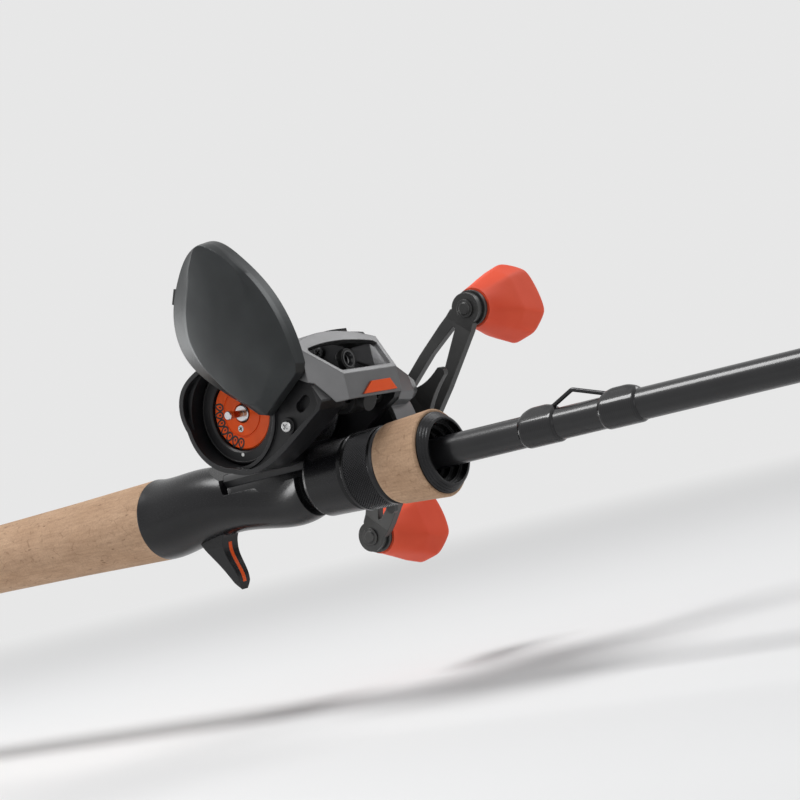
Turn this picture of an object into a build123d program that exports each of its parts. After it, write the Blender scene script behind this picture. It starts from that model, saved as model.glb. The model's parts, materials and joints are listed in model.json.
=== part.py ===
from build123d import *
import math
import os

# Casting rod with a low profile reel, in millimetres.
# X runs along the rod to its tip, Y to the handle side, Z up to the reel.
# The origin is on the rod axis, straight below the spool.

# Clearances
running_gap = 0.05
moving_gap = 0.3
seat_gap = 0.02

# Rod blank and grips
butt_end_x = -290.0
butt_cap_length = 12.0
butt_cap_round = 4.0
grip_radius = 12.3
grip_front_radius = 13.9
grip_flare_length = 88.0
blank_tip_x = 1680.0
blank_butt_radius = 6.2
blank_fore_radius = 4.8
blank_tip_radius = 0.95
blank_butt_wall = 1.3
blank_tip_wall = 0.4
blank_taper_power = 1.25
blank_steps = 10

# Reel seat with its trigger
seat_rear_x = -60.0
seat_front_x = 8.0
seat_waist_radius = 10.2
hood_peak_x = -33.7
hood_peak_z = 13.2
hood_lip_x = -25.5
shelf_radius = 8.0
shelf_side_z = 3.0
foot_thickness = 1.6
foot_half_width = 6.2
barrel_end_x = 47.0
arbor_wall = 1.3
trigger_root_x = -45.0
trigger_tip_x = -32.0
trigger_tip_z = -28.6
trigger_front_x = -29.5
trigger_width = 7.6
trigger_tip_width = 4.0
inlay_width = 1.6
inlay_depth = 0.8

# Sliding hood, lock nut and fore grip
seat_hood_x = 12.0
seat_hood_length = 15.6
seat_hood_radius = 11.9
nut_length = 12.6
nut_rim = 1.0
nut_band_depth = 0.25
nut_radius = 12.5
nut_sleeve_radius = 10.6
foregrip_length = 17.7
foregrip_rear_radius = 12.8
foregrip_front_radius = 13.65
trim_rim_radius = 12.6
trim_mouth_radius = 10.0
trim_throat_radius = 7.4
trim_depth = 6.5
trim_proud = 3.0
trim_ridges = 4

# Hook keeper and line guides
keeper_x = 110.0
keeper_half_length = 9.0
keeper_height = 4.1
keeper_wire_radius = 0.65
keeper_foot_length = 9.0
wrap_height = 0.5
wrap_overrun = 2.0
guide_count = 8
guide_first_x = 359.0
guide_first_gap = 241.0
guide_gap_ratio = 0.885
guide_first_ring_radius = 6.4
guide_last_ring_radius = 2.7
guide_first_height = 15.5
guide_last_height = 6.2
guide_shrink = 0.68
guide_wire_radius = 0.75
guide_ring_wall = 0.9
guide_hoop_wall = 0.8
guide_foot_length = 9.0
guide_foot_height = 0.8
guide_leg_reach = 0.55
tip_tube_length = 12.0
tip_tube_wall = 0.5
tip_ring_radius = 2.9

# Reel axes, as X and Z
spool_axis = (0.0, 26.6)
drive_offset = 20.25
drive_direction = -48.6
worm_axis = (29.3, 24.2)
plate_pivot = (28.25, 37.75)
plate_open_angle = 67.5

# Stations across the reel
palm_rim_y = -25.0
palm_frame_y = -17.0
palm_inner_y = -13.0
gear_inner_y = 13.0
gear_frame_y = 16.0

# Outline shared by the side plate, bezel, frame and gear cover
wing_centre = (9.0, 27.0)
wing_front_top = (35.0, 41.2)
wing_front_low = (38.3, 22.9)
wing_back = (
    (33.0, 43.6), (21.0, 47.0), (8.0, 47.3), (-7.2, 43.7), (-17.6, 37.6),
    (-19.8, 31.0), (-16.2, 20.6), (-7.7, 10.8), (2.0, 6.9), (18.6, 10.7), (36.6, 20.6),
)
wing_wall = 1.7
frame_inset = 0.3
frame_rim = 1.9
bezel_pocket = 2.5
bezel_recess = (28.8, 24.1)
bezel_screw_spots = ((21.4, 18.6), (18.2, 42.0))
cover_screw_spots = ((24.5, 31.0), (19.5, 37.6), (11.5, 41.0))
cover_boss_radius = 2.2
screw_radius = 0.9
screw_head_radius = 1.8
screw_head_height = 1.1
screw_cross = 2.2
screw_cross_width = 0.55
screw_cross_depth = 0.6
screw_cross_turn = 38.0
drive_lug_radius = 8.0
deck_front_x = 10.0
rear_bar_top_z = 24.8

# Spool and its brake
flange_radius = 16.2
flange_gap = 0.4
spool_half_width = 11.0
spool_hub_radius = 9.5
spool_rim_thickness = 0.9
spool_shaft_radius = 1.5
spool_bearing_radius = 5.0
spool_bearing_width = 3.6
dial_radius = 11.5
dial_thickness = 1.8
dial_face_y = -18.0
dial_groove_radius = 7.4
dial_hole_radius = 3.1
post_radius = 1.1
post_base_radius = 2.7
magnet_count = 6
magnet_radius = 1.6
magnet_circle = 10.6
carrier_thickness = 1.5
dial_screw_radius = 1.1
dial_screw_spot = (-1.9, -4.6)

# Wing side plate
plate_depth = 7.2
plate_band = 4.0
plate_shoulder = 8.0
plate_rim_depth = 2.6
pivot_radius = 2.0
pivot_boss_radius = 3.7
pivot_boss_depth = 5.5
latch_width = 5.0
latch_reach = 2.3
latch_root = 4.5
latch_thickness = 1.3

# Front hood
hood_front_x = 41.5
hood_panel_low_z = 22.0
hood_panel_top_z = 30.0
hood_panel_palm_y = -15.8
hood_panel_gear_y = 11.2
hood_palm_y = -24.6
hood_palm_x = 34.2
hood_gear_x = 31.5
hood_roof_front_x = 30.5
hood_roof_rear_x = 22.0
hood_roof_z = 45.0
hood_crown_y = -6.0
hood_crown_radius = 61.0
hood_wall = 1.8
hood_lip_depth = 2.8
hood_rear_drop = 9.0
window_rail = 1.5
window_brow = 4.4
window_arch = 2.2
window_corner = 1.4
badge_middle_y = -0.3
badge_half_width = 8.6
badge_edge = 0.9
badge_height = 3.6
badge_slant = 5.2
badge_thickness = 0.6

# Gear train
drive_teeth = 78
pinion_teeth = 12
gear_module = 0.45
level_module = 0.5
level_drive_teeth = 28
idler_teeth = 20
worm_teeth = 16
pressure_angle = 20.0
tooth_backlash = 0.2
gear_width = 4.0
level_gear_width = 1.7
drive_shaft_radius = 3.0
drive_bearing_radius = 5.0
pinion_sleeve_radius = 2.1
pinion_bearing_radius = 4.0
yoke_thickness = 1.1
yoke_travel = 1.5
yoke_post_reach = 9.0
yoke_post_radius = 1.2
yoke_half_width = 2.5
idler_post_radius = 1.2
ratchet_radius = 9.0
drag_radius = 12.5
drag_count = 3
drag_stack_height = 2.5
one_way_bore = 4.0
one_way_radius = 6.6
one_way_width = 5.6
worm_radius = 2.9
worm_tube_wall = 0.7
carriage_wall = 1.6
carriage_half_width = 4.5
line_ring_radius = 2.8
line_ring_reach = 2.0
line_hoop_wall = 0.6
line_stem = 2.2
line_ring_z = 35.3
pawl_radius = 1.9
pawl_cap_reach = 8.2
pawl_tilt = 23.0
thumb_bar_z = 36.0
gear_plate_thickness = 2.0
cover_wall = 1.7
cover_depth = 16.2
cover_lean = 0.8
cover_top_inset = 6.0
cover_corner_z = 39.0
cover_steep_normal = (1.47, 1.0, 1.0)
cover_flat_drop = 2.8
cover_flat_normal = (0.9, 0.65, 1.0)
drum_gap = 0.7

# Handle side
cap_radius = 7.8
cap_bore_radius = 6.4
cap_top_y = 38.0
star_count = 5
star_hub_y = 38.4
star_tip_y = 43.4
star_tip_radius = 29.0
star_disc_radius = 14.5
star_thickness = 2.2
star_phase = 33.0
arm_hub_y = 45.8
arm_end_y = 53.0
arm_thickness = 3.0
arm_half_length = 45.5
arm_angle = 48.0
arm_boss_radius = 5.3
arm_hub_radius = 10.0
nut_across = 10.0
nut_height = 3.0
spindle_radius = 2.0
collar_radius = 6.1
collar_length = 1.5
knob_length = 30.0
knob_width = 28.0
knob_thickness = 17.0
knob_neck = 13.4
knob_neck_length = 3.0
knob_edge_share = 0.45
knob_flat_share = 0.5
knob_fillet = 2.8
knob_bulge = 8.5
knob_end_wall = 6.0

# Derived places
foregrip_rear_x = seat_hood_x + seat_hood_length + nut_length + 0.7
foregrip_front_x = foregrip_rear_x + foregrip_length
arbor_radius = shelf_radius - arbor_wall
drive_axis = (
    spool_axis[0] + drive_offset * math.cos(math.radians(drive_direction)),
    spool_axis[1] + drive_offset * math.sin(math.radians(drive_direction)),
)
opening_radius = flange_radius + flange_gap
foot_rear_x = hood_peak_x + 2.0
foot_front_x = seat_hood_x + 9.0
palm_bearing_y = dial_face_y + dial_thickness + moving_gap + 0.7
carrier_y = palm_bearing_y + 0.6
level_y = gear_frame_y + gear_plate_thickness + 0.5
ratchet_y = level_y + level_gear_width + 0.2
drive_gear_y = ratchet_y + 1.4
drag_y = drive_gear_y + gear_width + 0.1
yoke_y = gear_frame_y + gear_plate_thickness + 0.6
one_way_y = drag_y + drag_stack_height + 2.5
cover_top_y = gear_frame_y + cover_depth
pinion_bearing_y = cover_top_y - 1.4
cap_inside_y = cap_top_y - 1.2
cap_boss_y = cover_top_y + 3.9
drum_radius = gear_module * drive_teeth / 2 + 0.3 + drum_gap + cover_wall
worm_tube_radius = worm_radius + moving_gap + worm_tube_wall
carriage_radius = worm_tube_radius + carriage_wall
pivot_pin_start = palm_rim_y - plate_depth + 2.0
pivot_pin_end = hood_palm_y + pivot_boss_depth
hood_slope = math.dist((hood_roof_front_x, hood_roof_z), (hood_front_x, hood_panel_top_z))
arm_direction = (math.cos(math.radians(arm_angle)), math.sin(math.radians(arm_angle)))


def polygon(points):
    """Closed straight sided face drawn in the first two axes."""
    return make_face(Polyline(points, close=True))


def across(sketch, y_from, y_to):
    """Extrude a sketch drawn in X and Z from one Y station to another."""
    return extrude(Plane.XZ.offset(-y_from) * sketch, amount=y_from - y_to)


def turned(profile, axis=(0.0, 0.0)):
    """Revolve (radius, y) points about a line parallel to Y."""
    return Pos(axis[0], 0, axis[1]) * revolve(polygon(profile), Axis.Y)


def disc(axis, radius, y_from, y_to):
    """Cylinder parallel to Y."""
    return across(Pos(axis[0], axis[1]) * Circle(radius), y_from, y_to)


def ring(axis, inner, outer, y_from, y_to):
    """Tube parallel to Y."""
    return turned([(inner, y_from), (outer, y_from), (outer, y_to), (inner, y_to)], axis)


def lathe(profile):
    """Revolve (x, radius) points about the rod axis."""
    return revolve(polygon(profile), Axis.X)


def tube(x_from, x_to, inner, outer):
    """Tube along the rod axis."""
    return lathe([(x_from, inner), (x_from, outer), (x_to, outer), (x_to, inner)])


def strut(start, end, radius):
    """Round bar between two points."""
    run = Vector(*end) - Vector(*start)
    return Solid.make_cylinder(radius, run.length, Plane(origin=start, z_dir=run))


def blank_radius(x):
    """Outside radius of the blank, which tapers in short straight steps."""
    if x < foregrip_front_x:
        share = (x - butt_end_x) / (foregrip_front_x - butt_end_x)
        return blank_butt_radius + (blank_fore_radius - blank_butt_radius) * share
    place = (x - foregrip_front_x) / (blank_tip_x - foregrip_front_x) * blank_steps
    step = min(int(place), blank_steps - 1)
    drop = blank_fore_radius - blank_tip_radius
    rear, front = [
        blank_tip_radius + drop * (1 - end / blank_steps) ** blank_taper_power for end in (step, step + 1)
    ]
    return rear + (front - rear) * (place - step)


def blank_wall(x):
    """Wall of the blank, thinner towards the tip."""
    share = (x - butt_end_x) / (blank_tip_x - butt_end_x)
    return blank_butt_wall + (blank_tip_wall - blank_butt_wall) * share


def fitted_tube(x_from, x_to, outer_from, outer_to, gap=seat_gap):
    """Tapered sleeve whose bore follows the blank."""
    return lathe([
        (x_from, blank_radius(x_from) + gap),
        (x_from, outer_from),
        (x_to, outer_to),
        (x_to, blank_radius(x_to) + gap),
    ])


def inset_point(point, inset):
    """Move a point of the wing outline towards the outline's centre."""
    run = Vector(*point) - Vector(*wing_centre)
    moved = Vector(*wing_centre) + run * (1 - inset / run.length)
    return (moved.X, moved.Y)


def wing(inset=0.0, drop=0.0):
    """Teardrop outline of the reel's sides, drawn in X and Z."""
    back = [inset_point(point, inset) for point in wing_back]
    top = inset_point(wing_front_top, inset)
    low = inset_point(wing_front_low, inset)
    edges = [Spline(back), Line(back[-1], low), Line(low, top), Line(top, back[0])]
    return Pos(0, -drop) * make_face(edges)


def mesh_phase(direction, phase, teeth, other_teeth):
    """Angle of a tooth on a gear that meshes with another one, in degrees."""
    return direction + 180 - teeth / other_teeth * (phase - direction) - 180 / other_teeth


def gear_face(teeth, module, phase, addendum, dedendum, flank_steps):
    """Involute gear outline with one tooth centred on the phase angle."""
    pitch = module * teeth / 2
    base = pitch * math.cos(math.radians(pressure_angle))
    half_tooth = math.pi / (2 * teeth) - tooth_backlash / (2 * pitch)

    def involute(radius):
        slant = math.acos(min(1.0, base / radius))
        return math.tan(slant) - slant

    root = pitch - dedendum
    start = max(base, root)
    radii = [start + (pitch + addendum - start) * step / flank_steps for step in range(flank_steps + 1)]
    widths = [half_tooth + involute(pitch) - involute(radius) for radius in radii]
    flank = list(zip(radii, widths))
    if root < start:
        flank.insert(0, (root, widths[0]))
    points = []
    for tooth in range(teeth):
        centre = math.radians(phase) + 2 * math.pi * tooth / teeth
        points += [(r * math.cos(centre - w), r * math.sin(centre - w)) for r, w in flank]
        points += [(r * math.cos(centre + w), r * math.sin(centre + w)) for r, w in reversed(flank)]
    return polygon(points)


def direction_between(start, end):
    """Angle from one axis to another, in degrees."""
    return math.degrees(math.atan2(end[1] - start[1], end[0] - start[0]))


def idler_centre():
    """Place of the idler, at its mesh distance from the drive and the worm gears."""
    to_drive = level_module * (level_drive_teeth + idler_teeth) / 2
    to_worm = level_module * (worm_teeth + idler_teeth) / 2
    span = math.dist(drive_axis, worm_axis)
    ahead = (to_drive**2 - to_worm**2 + span**2) / (2 * span)
    aside = math.sqrt(to_drive**2 - ahead**2)
    ux = (worm_axis[0] - drive_axis[0]) / span
    uz = (worm_axis[1] - drive_axis[1]) / span
    return (drive_axis[0] + ahead * ux + aside * uz, drive_axis[1] + ahead * uz - aside * ux)


# Rod pieces


def rod_blank():
    run = blank_tip_x - foregrip_front_x
    stations = [butt_end_x + butt_cap_length / 2]
    stations += [foregrip_front_x + run * step / blank_steps for step in range(blank_steps + 1)]
    outer = [(x, blank_radius(x)) for x in stations]
    inner = [(x, blank_radius(x) - blank_wall(x)) for x in reversed(stations)]
    return lathe(outer + inner)


def rear_grip():
    rear = butt_end_x + butt_cap_length
    flare = seat_rear_x - grip_flare_length
    return lathe([
        (rear, blank_radius(rear) + seat_gap),
        (rear, grip_radius),
        (flare, grip_radius),
        (seat_rear_x - grip_flare_length / 2, (grip_radius + grip_front_radius) / 2 - 0.2),
        (seat_rear_x, grip_front_radius),
        (seat_rear_x, blank_radius(seat_rear_x) + seat_gap),
    ])


def butt_cap():
    front = butt_end_x + butt_cap_length
    cup = butt_end_x + butt_cap_length / 2 - seat_gap
    return lathe([
        (butt_end_x, 0),
        (butt_end_x, grip_radius - butt_cap_round),
        (butt_end_x + butt_cap_round * 0.3, grip_radius - butt_cap_round * 0.3),
        (butt_end_x + butt_cap_round, grip_radius),
        (front, grip_radius),
        (front, blank_radius(front) + seat_gap),
        (cup, blank_radius(cup) + seat_gap),
        (cup, 0),
    ])


def trigger_face():
    root_z = -seat_waist_radius + 2.0
    rear_root = (trigger_root_x, root_z)
    front_root = (trigger_front_x, root_z)
    tip = (trigger_tip_x, trigger_tip_z)
    rear = Spline(
        rear_root,
        (trigger_root_x + 3.2, root_z - 5.5),
        (trigger_tip_x - 4.8, trigger_tip_z + 8.0),
        (trigger_tip_x - 1.6, trigger_tip_z + 2.6),
        tip,
    )
    front = Spline(
        tip,
        (trigger_tip_x + 0.5, trigger_tip_z + 5.5),
        (trigger_tip_x - 2.0, root_z - 6.5),
        (trigger_tip_x - 1.2, root_z - 2.6),
        front_root,
    )
    return make_face([rear, front, Line(front_root, rear_root)])


def trigger_solid():
    """Trigger that narrows to its tip."""
    root = trigger_width / 2
    tip = trigger_tip_width / 2
    front = polygon([
        (-root, 0), (root, 0), (root, -seat_waist_radius - 3.0), (tip + 0.6, trigger_tip_z + 2.5),
        (tip - 0.6, trigger_tip_z), (0.6 - tip, trigger_tip_z), (-tip - 0.6, trigger_tip_z + 2.5),
        (-root, -seat_waist_radius - 3.0),
    ])
    return across(trigger_face(), -root, root) & along(front, trigger_root_x - 5.0, trigger_front_x + 5.0)


def inlay_solid(gap):
    """Strip along the finger side of the trigger, grown by a gap."""
    root_z = -seat_waist_radius + 2.0
    band = make_face([
        Line((trigger_tip_x - 6.0, root_z - 4.0), (trigger_tip_x + 3.0, root_z - 4.0)),
        Line((trigger_tip_x + 3.0, root_z - 4.0), (trigger_tip_x + 3.0, trigger_tip_z + 2.5)),
        Line((trigger_tip_x + 3.0, trigger_tip_z + 2.5), (trigger_tip_x - 6.0, trigger_tip_z + 2.5)),
        Line((trigger_tip_x - 6.0, trigger_tip_z + 2.5), (trigger_tip_x - 6.0, root_z - 4.0)),
    ])
    face = trigger_face() & band
    deep = Pos(-inlay_depth - gap, 0) * trigger_face()
    half = inlay_width / 2 + gap
    return across(face - deep, -half, half)


def foot_arch(outer, half_width):
    """Upper part of a round section, cut to the foot's width, seen along the rod."""
    band = Pos(0, shelf_radius + shelf_side_z) * Rectangle(2 * half_width, 2 * shelf_radius)
    return Circle(outer) & band


def along(sketch, x_from, x_to):
    """Extrude a sketch drawn in Y and Z from one X station to another."""
    place = Plane(origin=(x_from, 0, 0), x_dir=(0, 1, 0), z_dir=(1, 0, 0))
    return extrude(place * sketch, amount=x_to - x_from)


def foot_pocket(gap):
    """Room for the reel foot above the shelf."""
    section = foot_arch(shelf_radius + foot_thickness + gap, foot_half_width + gap)
    return along(section, foot_rear_x - gap, foot_front_x + gap)


def reel_seat():
    stations = (
        (seat_rear_x, grip_front_radius, 0.0),
        (seat_rear_x + 13.0, grip_front_radius - 1.0, 0.6),
        (hood_peak_x, (hood_peak_z + seat_waist_radius) / 2, (hood_peak_z - seat_waist_radius) / 2),
        (hood_lip_x + 4.0, seat_waist_radius, 0.0),
        (seat_front_x, seat_waist_radius + 0.4, 0.0),
    )
    sections = [
        Plane(origin=(x, 0, lift), x_dir=(0, 1, 0), z_dir=(1, 0, 0)) * Circle(radius)
        for x, radius, lift in stations
    ]
    body = loft(sections)
    over = hood_peak_z + 8.0
    side = grip_front_radius + 2.0
    slope = polygon([
        (hood_peak_x, hood_peak_z),
        (hood_lip_x, shelf_radius),
        (hood_lip_x + 2.5, shelf_side_z),
        (seat_front_x + 1.0, shelf_side_z),
        (seat_front_x + 1.0, over),
        (hood_peak_x, over),
    ])
    body -= across(slope, -side, side)
    body -= foot_pocket(seat_gap)
    body += tube(foot_rear_x - 2.0, barrel_end_x, 1.0, shelf_radius)
    body += trigger_solid()
    body -= inlay_solid(seat_gap)
    return body - tube(seat_rear_x - 1.0, barrel_end_x + 1.0, 0, arbor_radius + seat_gap)


def trigger_inlay():
    return inlay_solid(0.0)


def seat_arbor():
    return fitted_tube(seat_rear_x + 1.0, barrel_end_x - 1.0, arbor_radius, arbor_radius)


def seat_hood():
    end = seat_hood_x + seat_hood_length
    sleeve = lathe([
        (seat_hood_x, shelf_radius + running_gap),
        (seat_hood_x, seat_hood_radius - 0.9),
        (seat_hood_x + 1.2, seat_hood_radius - 0.3),
        (end - 1.0, seat_hood_radius),
        (end, seat_hood_radius - 0.6),
        (end, shelf_radius + running_gap),
    ])
    return sleeve - foot_pocket(moving_gap)


def lock_nut():
    rear = seat_hood_x + seat_hood_length + moving_gap
    front = foregrip_rear_x
    end = foregrip_front_x - trim_depth - 1.0
    bore = shelf_radius + running_gap
    return lathe([
        (rear, bore),
        (rear, nut_radius - 0.7),
        (rear + 0.7, nut_radius),
        (rear + 0.7 + nut_rim, nut_radius),
        (rear + 0.7 + nut_rim, nut_radius - nut_band_depth),
        (front - 0.7 - nut_rim, nut_radius - nut_band_depth),
        (front - 0.7 - nut_rim, nut_radius),
        (front - 0.7, nut_radius),
        (front, nut_radius - 0.7),
        (front, nut_sleeve_radius),
        (end, nut_sleeve_radius),
        (end, bore),
    ])


def foregrip():
    rear = foregrip_rear_x + seat_gap
    front = foregrip_front_x
    bore = nut_sleeve_radius + seat_gap
    step = front - trim_depth
    return lathe([
        (rear, bore),
        (rear, foregrip_rear_radius - 1.3),
        (rear + 0.4, foregrip_rear_radius - 0.5),
        (rear + 1.5, foregrip_rear_radius),
        (front - 0.5, foregrip_front_radius),
        (front, foregrip_front_radius - 0.4),
        (front, trim_rim_radius + seat_gap),
        (step, trim_rim_radius + seat_gap),
        (step, bore),
    ])


def foregrip_trim():
    """Ridged black cone in front of the cork, with a stepped mouth round the blank."""
    front = foregrip_front_x + trim_proud
    rear = foregrip_front_x - trim_depth + seat_gap
    ridge = trim_proud / trim_ridges
    fall = (trim_rim_radius - trim_mouth_radius) / (trim_ridges + 1)
    profile = [(rear, trim_throat_radius), (rear, trim_rim_radius)]
    for index in range(trim_ridges):
        radius = trim_rim_radius - index * fall
        start = foregrip_front_x + index * ridge
        profile += [(start, radius), (start + ridge * 0.7, radius)]
    lip = trim_rim_radius - trim_ridges * fall
    profile += [(front, lip), (front, trim_mouth_radius)]
    floor = rear + 1.5
    run = (front - floor) / 3
    drop = (trim_mouth_radius - trim_throat_radius) / 3
    for index in range(3):
        radius = trim_mouth_radius - index * drop
        profile += [(front - (index + 1) * run, radius), (front - (index + 1) * run, radius - drop)]
    return lathe(profile)


def keeper_wire():
    """Bent wire whose two feet lie along the blank."""
    rear = keeper_x - keeper_half_length
    front = keeper_x + keeper_half_length
    lift = keeper_wire_radius + seat_gap
    path = FilletPolyline(
        (rear - keeper_foot_length, 0, blank_radius(rear - keeper_foot_length) + lift),
        (rear, 0, blank_radius(rear - keeper_foot_length) + lift),
        (keeper_x - 1.5, 0, blank_radius(keeper_x) + keeper_height),
        (front, 0, blank_radius(front) + lift),
        (front + keeper_foot_length, 0, blank_radius(front) + lift),
        radius=1.5,
    )
    start = Plane(origin=path @ 0, z_dir=path % 0)
    return sweep(start * Circle(keeper_wire_radius), path=path)


def thread_wrap(x_from, x_to, bump_height, bump_half_width, covered):
    """Band of thread over the blank and the feet that it covers."""
    core = lathe([
        (x_from - 1, 0),
        (x_from - 1, blank_radius(x_from - 1) + seat_gap),
        (x_to + 1, blank_radius(x_to + 1) + seat_gap),
        (x_to + 1, 0),
    ])
    base = max(blank_radius(x_from), blank_radius(x_to))
    top = base + bump_height + wrap_height
    hump = polygon([
        (-bump_half_width - 2 * wrap_height, base * 0.6),
        (-bump_half_width, top),
        (bump_half_width, top),
        (bump_half_width + 2 * wrap_height, base * 0.6),
    ])
    return along(Circle(base + wrap_height) + hump, x_from, x_to) - core - covered


def keeper_wraps():
    wire = keeper_wire()
    rear = keeper_x - keeper_half_length
    front = keeper_x + keeper_half_length
    height = 2 * keeper_wire_radius
    reach = keeper_foot_length + wrap_overrun
    wraps = [
        thread_wrap(rear - reach, rear - 1.0, height, keeper_wire_radius, wire),
        thread_wrap(front + 1.0, front + reach, height, keeper_wire_radius, wire),
    ]
    return Compound(children=wraps)


def guide_x(index):
    """Place of a guide along the rod, with gaps that shrink towards the tip."""
    return guide_first_x + sum(guide_first_gap * guide_gap_ratio**step for step in range(index))


def guide_size(index):
    """Ring radius and height of a guide above the rod axis."""
    share = guide_shrink**index
    radius = guide_last_ring_radius + (guide_first_ring_radius - guide_last_ring_radius) * share
    height = guide_last_height + (guide_first_height - guide_last_height) * share
    return radius, height


def guide_feet(index):
    """Inner and outer ends of the rear foot and of the front foot."""
    x = guide_x(index)
    reach = guide_size(index)[1] * guide_leg_reach
    return (x - reach, x - reach - guide_foot_length), (x + reach, x + reach + guide_foot_length)


def guide_foot(inner, outer):
    """Flat foot on top of the blank."""
    low = blank_radius(min(inner, outer)) + seat_gap
    face = Pos(0, low + guide_foot_height / 2) * Rectangle(2 * guide_wire_radius, guide_foot_height)
    return along(face, min(inner, outer), max(inner, outer))


def ring_room(x, height, radius):
    """Room that a line ring takes up in its frame."""
    return along(Pos(0, height) * Circle(radius + seat_gap), x - radius, x + radius)


def guide_frame(index):
    x = guide_x(index)
    radius, height = guide_size(index)
    half = guide_wire_radius
    frame = along(Pos(0, height) * Circle(radius + guide_hoop_wall), x - half, x + half)
    middle = radius + guide_hoop_wall / 2
    rear, front = guide_feet(index)
    for foot in (rear, front):
        frame += guide_foot(*foot)
    low = height - middle
    rear_top = (rear[0], 0, blank_radius(rear[0]) + guide_foot_height / 2)
    frame += strut((x, 0, low), rear_top, guide_wire_radius * 0.9)
    for side in (-1, 1):
        start = (x, side * middle * 0.8, height - middle * 0.6)
        end = (front[0] + 1.0, 0, blank_radius(front[0]) + guide_foot_height / 2)
        frame += strut(start, end, guide_wire_radius * 0.8)
    ends = (rear[1], front[1])
    frame -= lathe([(x, 0) for x in ends] + [(x, blank_radius(x) + seat_gap) for x in reversed(ends)])
    return frame - ring_room(guide_x(index), height, radius)


def guide_frames():
    return Compound(children=[guide_frame(index) for index in range(guide_count)])


def line_ring(x, height, radius):
    """Smooth insert that the line runs through."""
    half = guide_wire_radius * 1.2
    bore = radius - guide_ring_wall
    section = polygon([
        (-half, bore + 0.3), (-half, radius), (half, radius), (half, bore + 0.3), (0, bore),
    ])
    return Pos(x, 0, height) * revolve(section, Axis.X)


def guide_rings():
    rings = []
    for index in range(guide_count):
        radius, height = guide_size(index)
        rings.append(line_ring(guide_x(index), height, radius))
    rings.append(line_ring(tip_ring_place()[0], tip_ring_place()[1], tip_ring_radius))
    return Compound(children=rings)


def guide_wraps():
    wraps = []
    for index in range(guide_count):
        frame = guide_frame(index)
        for inner, outer in guide_feet(index):
            step = math.copysign(1.0, outer - inner)
            ends = sorted((inner + step, outer + step * wrap_overrun))
            wraps.append(thread_wrap(*ends, guide_foot_height, guide_wire_radius, frame))
    return Compound(children=wraps)


def tip_ring_place():
    """X and Z of the ring at the rod's tip."""
    return blank_tip_x + tip_ring_radius * 0.6, tip_ring_radius + guide_hoop_wall + 0.6


def tip_top():
    rear = blank_tip_x - tip_tube_length
    outer = blank_radius(rear) + seat_gap + tip_tube_wall
    x, height = tip_ring_place()
    hoop = Pos(0, height) * Circle(tip_ring_radius + guide_hoop_wall)
    top = tube(rear, blank_tip_x + tip_tube_wall, 0, outer)
    top += along(hoop, x - guide_wire_radius, x + guide_wire_radius)
    reach = tip_ring_radius + guide_hoop_wall / 2
    for side in (-1, 1):
        start = (rear + tip_tube_length / 2, side * outer / 2, outer / 2)
        end = (x, side * reach * 0.9, height - reach * 0.4)
        top += strut(start, end, guide_wire_radius * 0.6)
    top -= ring_room(x, height, tip_ring_radius)
    return top - lathe([
        (rear - 1.0, 0),
        (rear - 1.0, blank_radius(rear - 1.0) + seat_gap),
        (blank_tip_x + seat_gap, blank_tip_radius + seat_gap),
        (blank_tip_x + seat_gap, 0),
    ])


# Reel frame, hood and covers


def hood_seam():
    """Line where the hood meets the frame, from its low front end to its roof end."""
    return [
        (hood_front_x - hood_lip_depth, hood_panel_low_z),
        (hood_front_x - hood_lip_depth - 3.5, hood_panel_top_z - 1.0),
        (hood_roof_rear_x, hood_roof_z - hood_rear_drop),
    ]


def hood_outline():
    """Side view of the front hood."""
    return polygon([
        (hood_roof_rear_x, hood_roof_z),
        (hood_roof_front_x, hood_roof_z),
        (hood_front_x, hood_panel_top_z),
        (hood_front_x, hood_panel_low_z),
    ] + hood_seam())


def hood_side():
    """All of the side view above and ahead of the hood's seam."""
    high = hood_roof_z + hood_front_x
    far = 2 * hood_front_x
    return polygon([(hood_roof_rear_x, high), (far, high), (far, hood_panel_low_z)] + hood_seam())


def hood_plan(grow_rear=0.0):
    """Hood seen from above, with its front corners swept back."""
    rear = hood_roof_rear_x - grow_rear
    return polygon([
        (rear, hood_palm_y),
        (hood_palm_x, hood_palm_y),
        (hood_front_x, hood_panel_palm_y),
        (hood_front_x, hood_panel_gear_y),
        (hood_gear_x, gear_frame_y),
        (rear, gear_frame_y),
    ])


def hood_crown_solid(inset):
    """Round bar along X that gives the hood's roof its crown."""
    face = Pos(hood_crown_y, hood_roof_z - hood_crown_radius) * Circle(hood_crown_radius - inset)
    return along(face, 0, 2 * hood_front_x)


def slope_plane():
    """Plane of the hood's sloping front, first axis along Y and second axis up the slope."""
    run = (hood_front_x - hood_roof_front_x, hood_panel_top_z - hood_roof_z)
    origin = (hood_front_x, 0, hood_panel_top_z)
    return Plane(origin=origin, x_dir=(0, 1, 0), z_dir=(-run[1], 0, run[0]))


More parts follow.
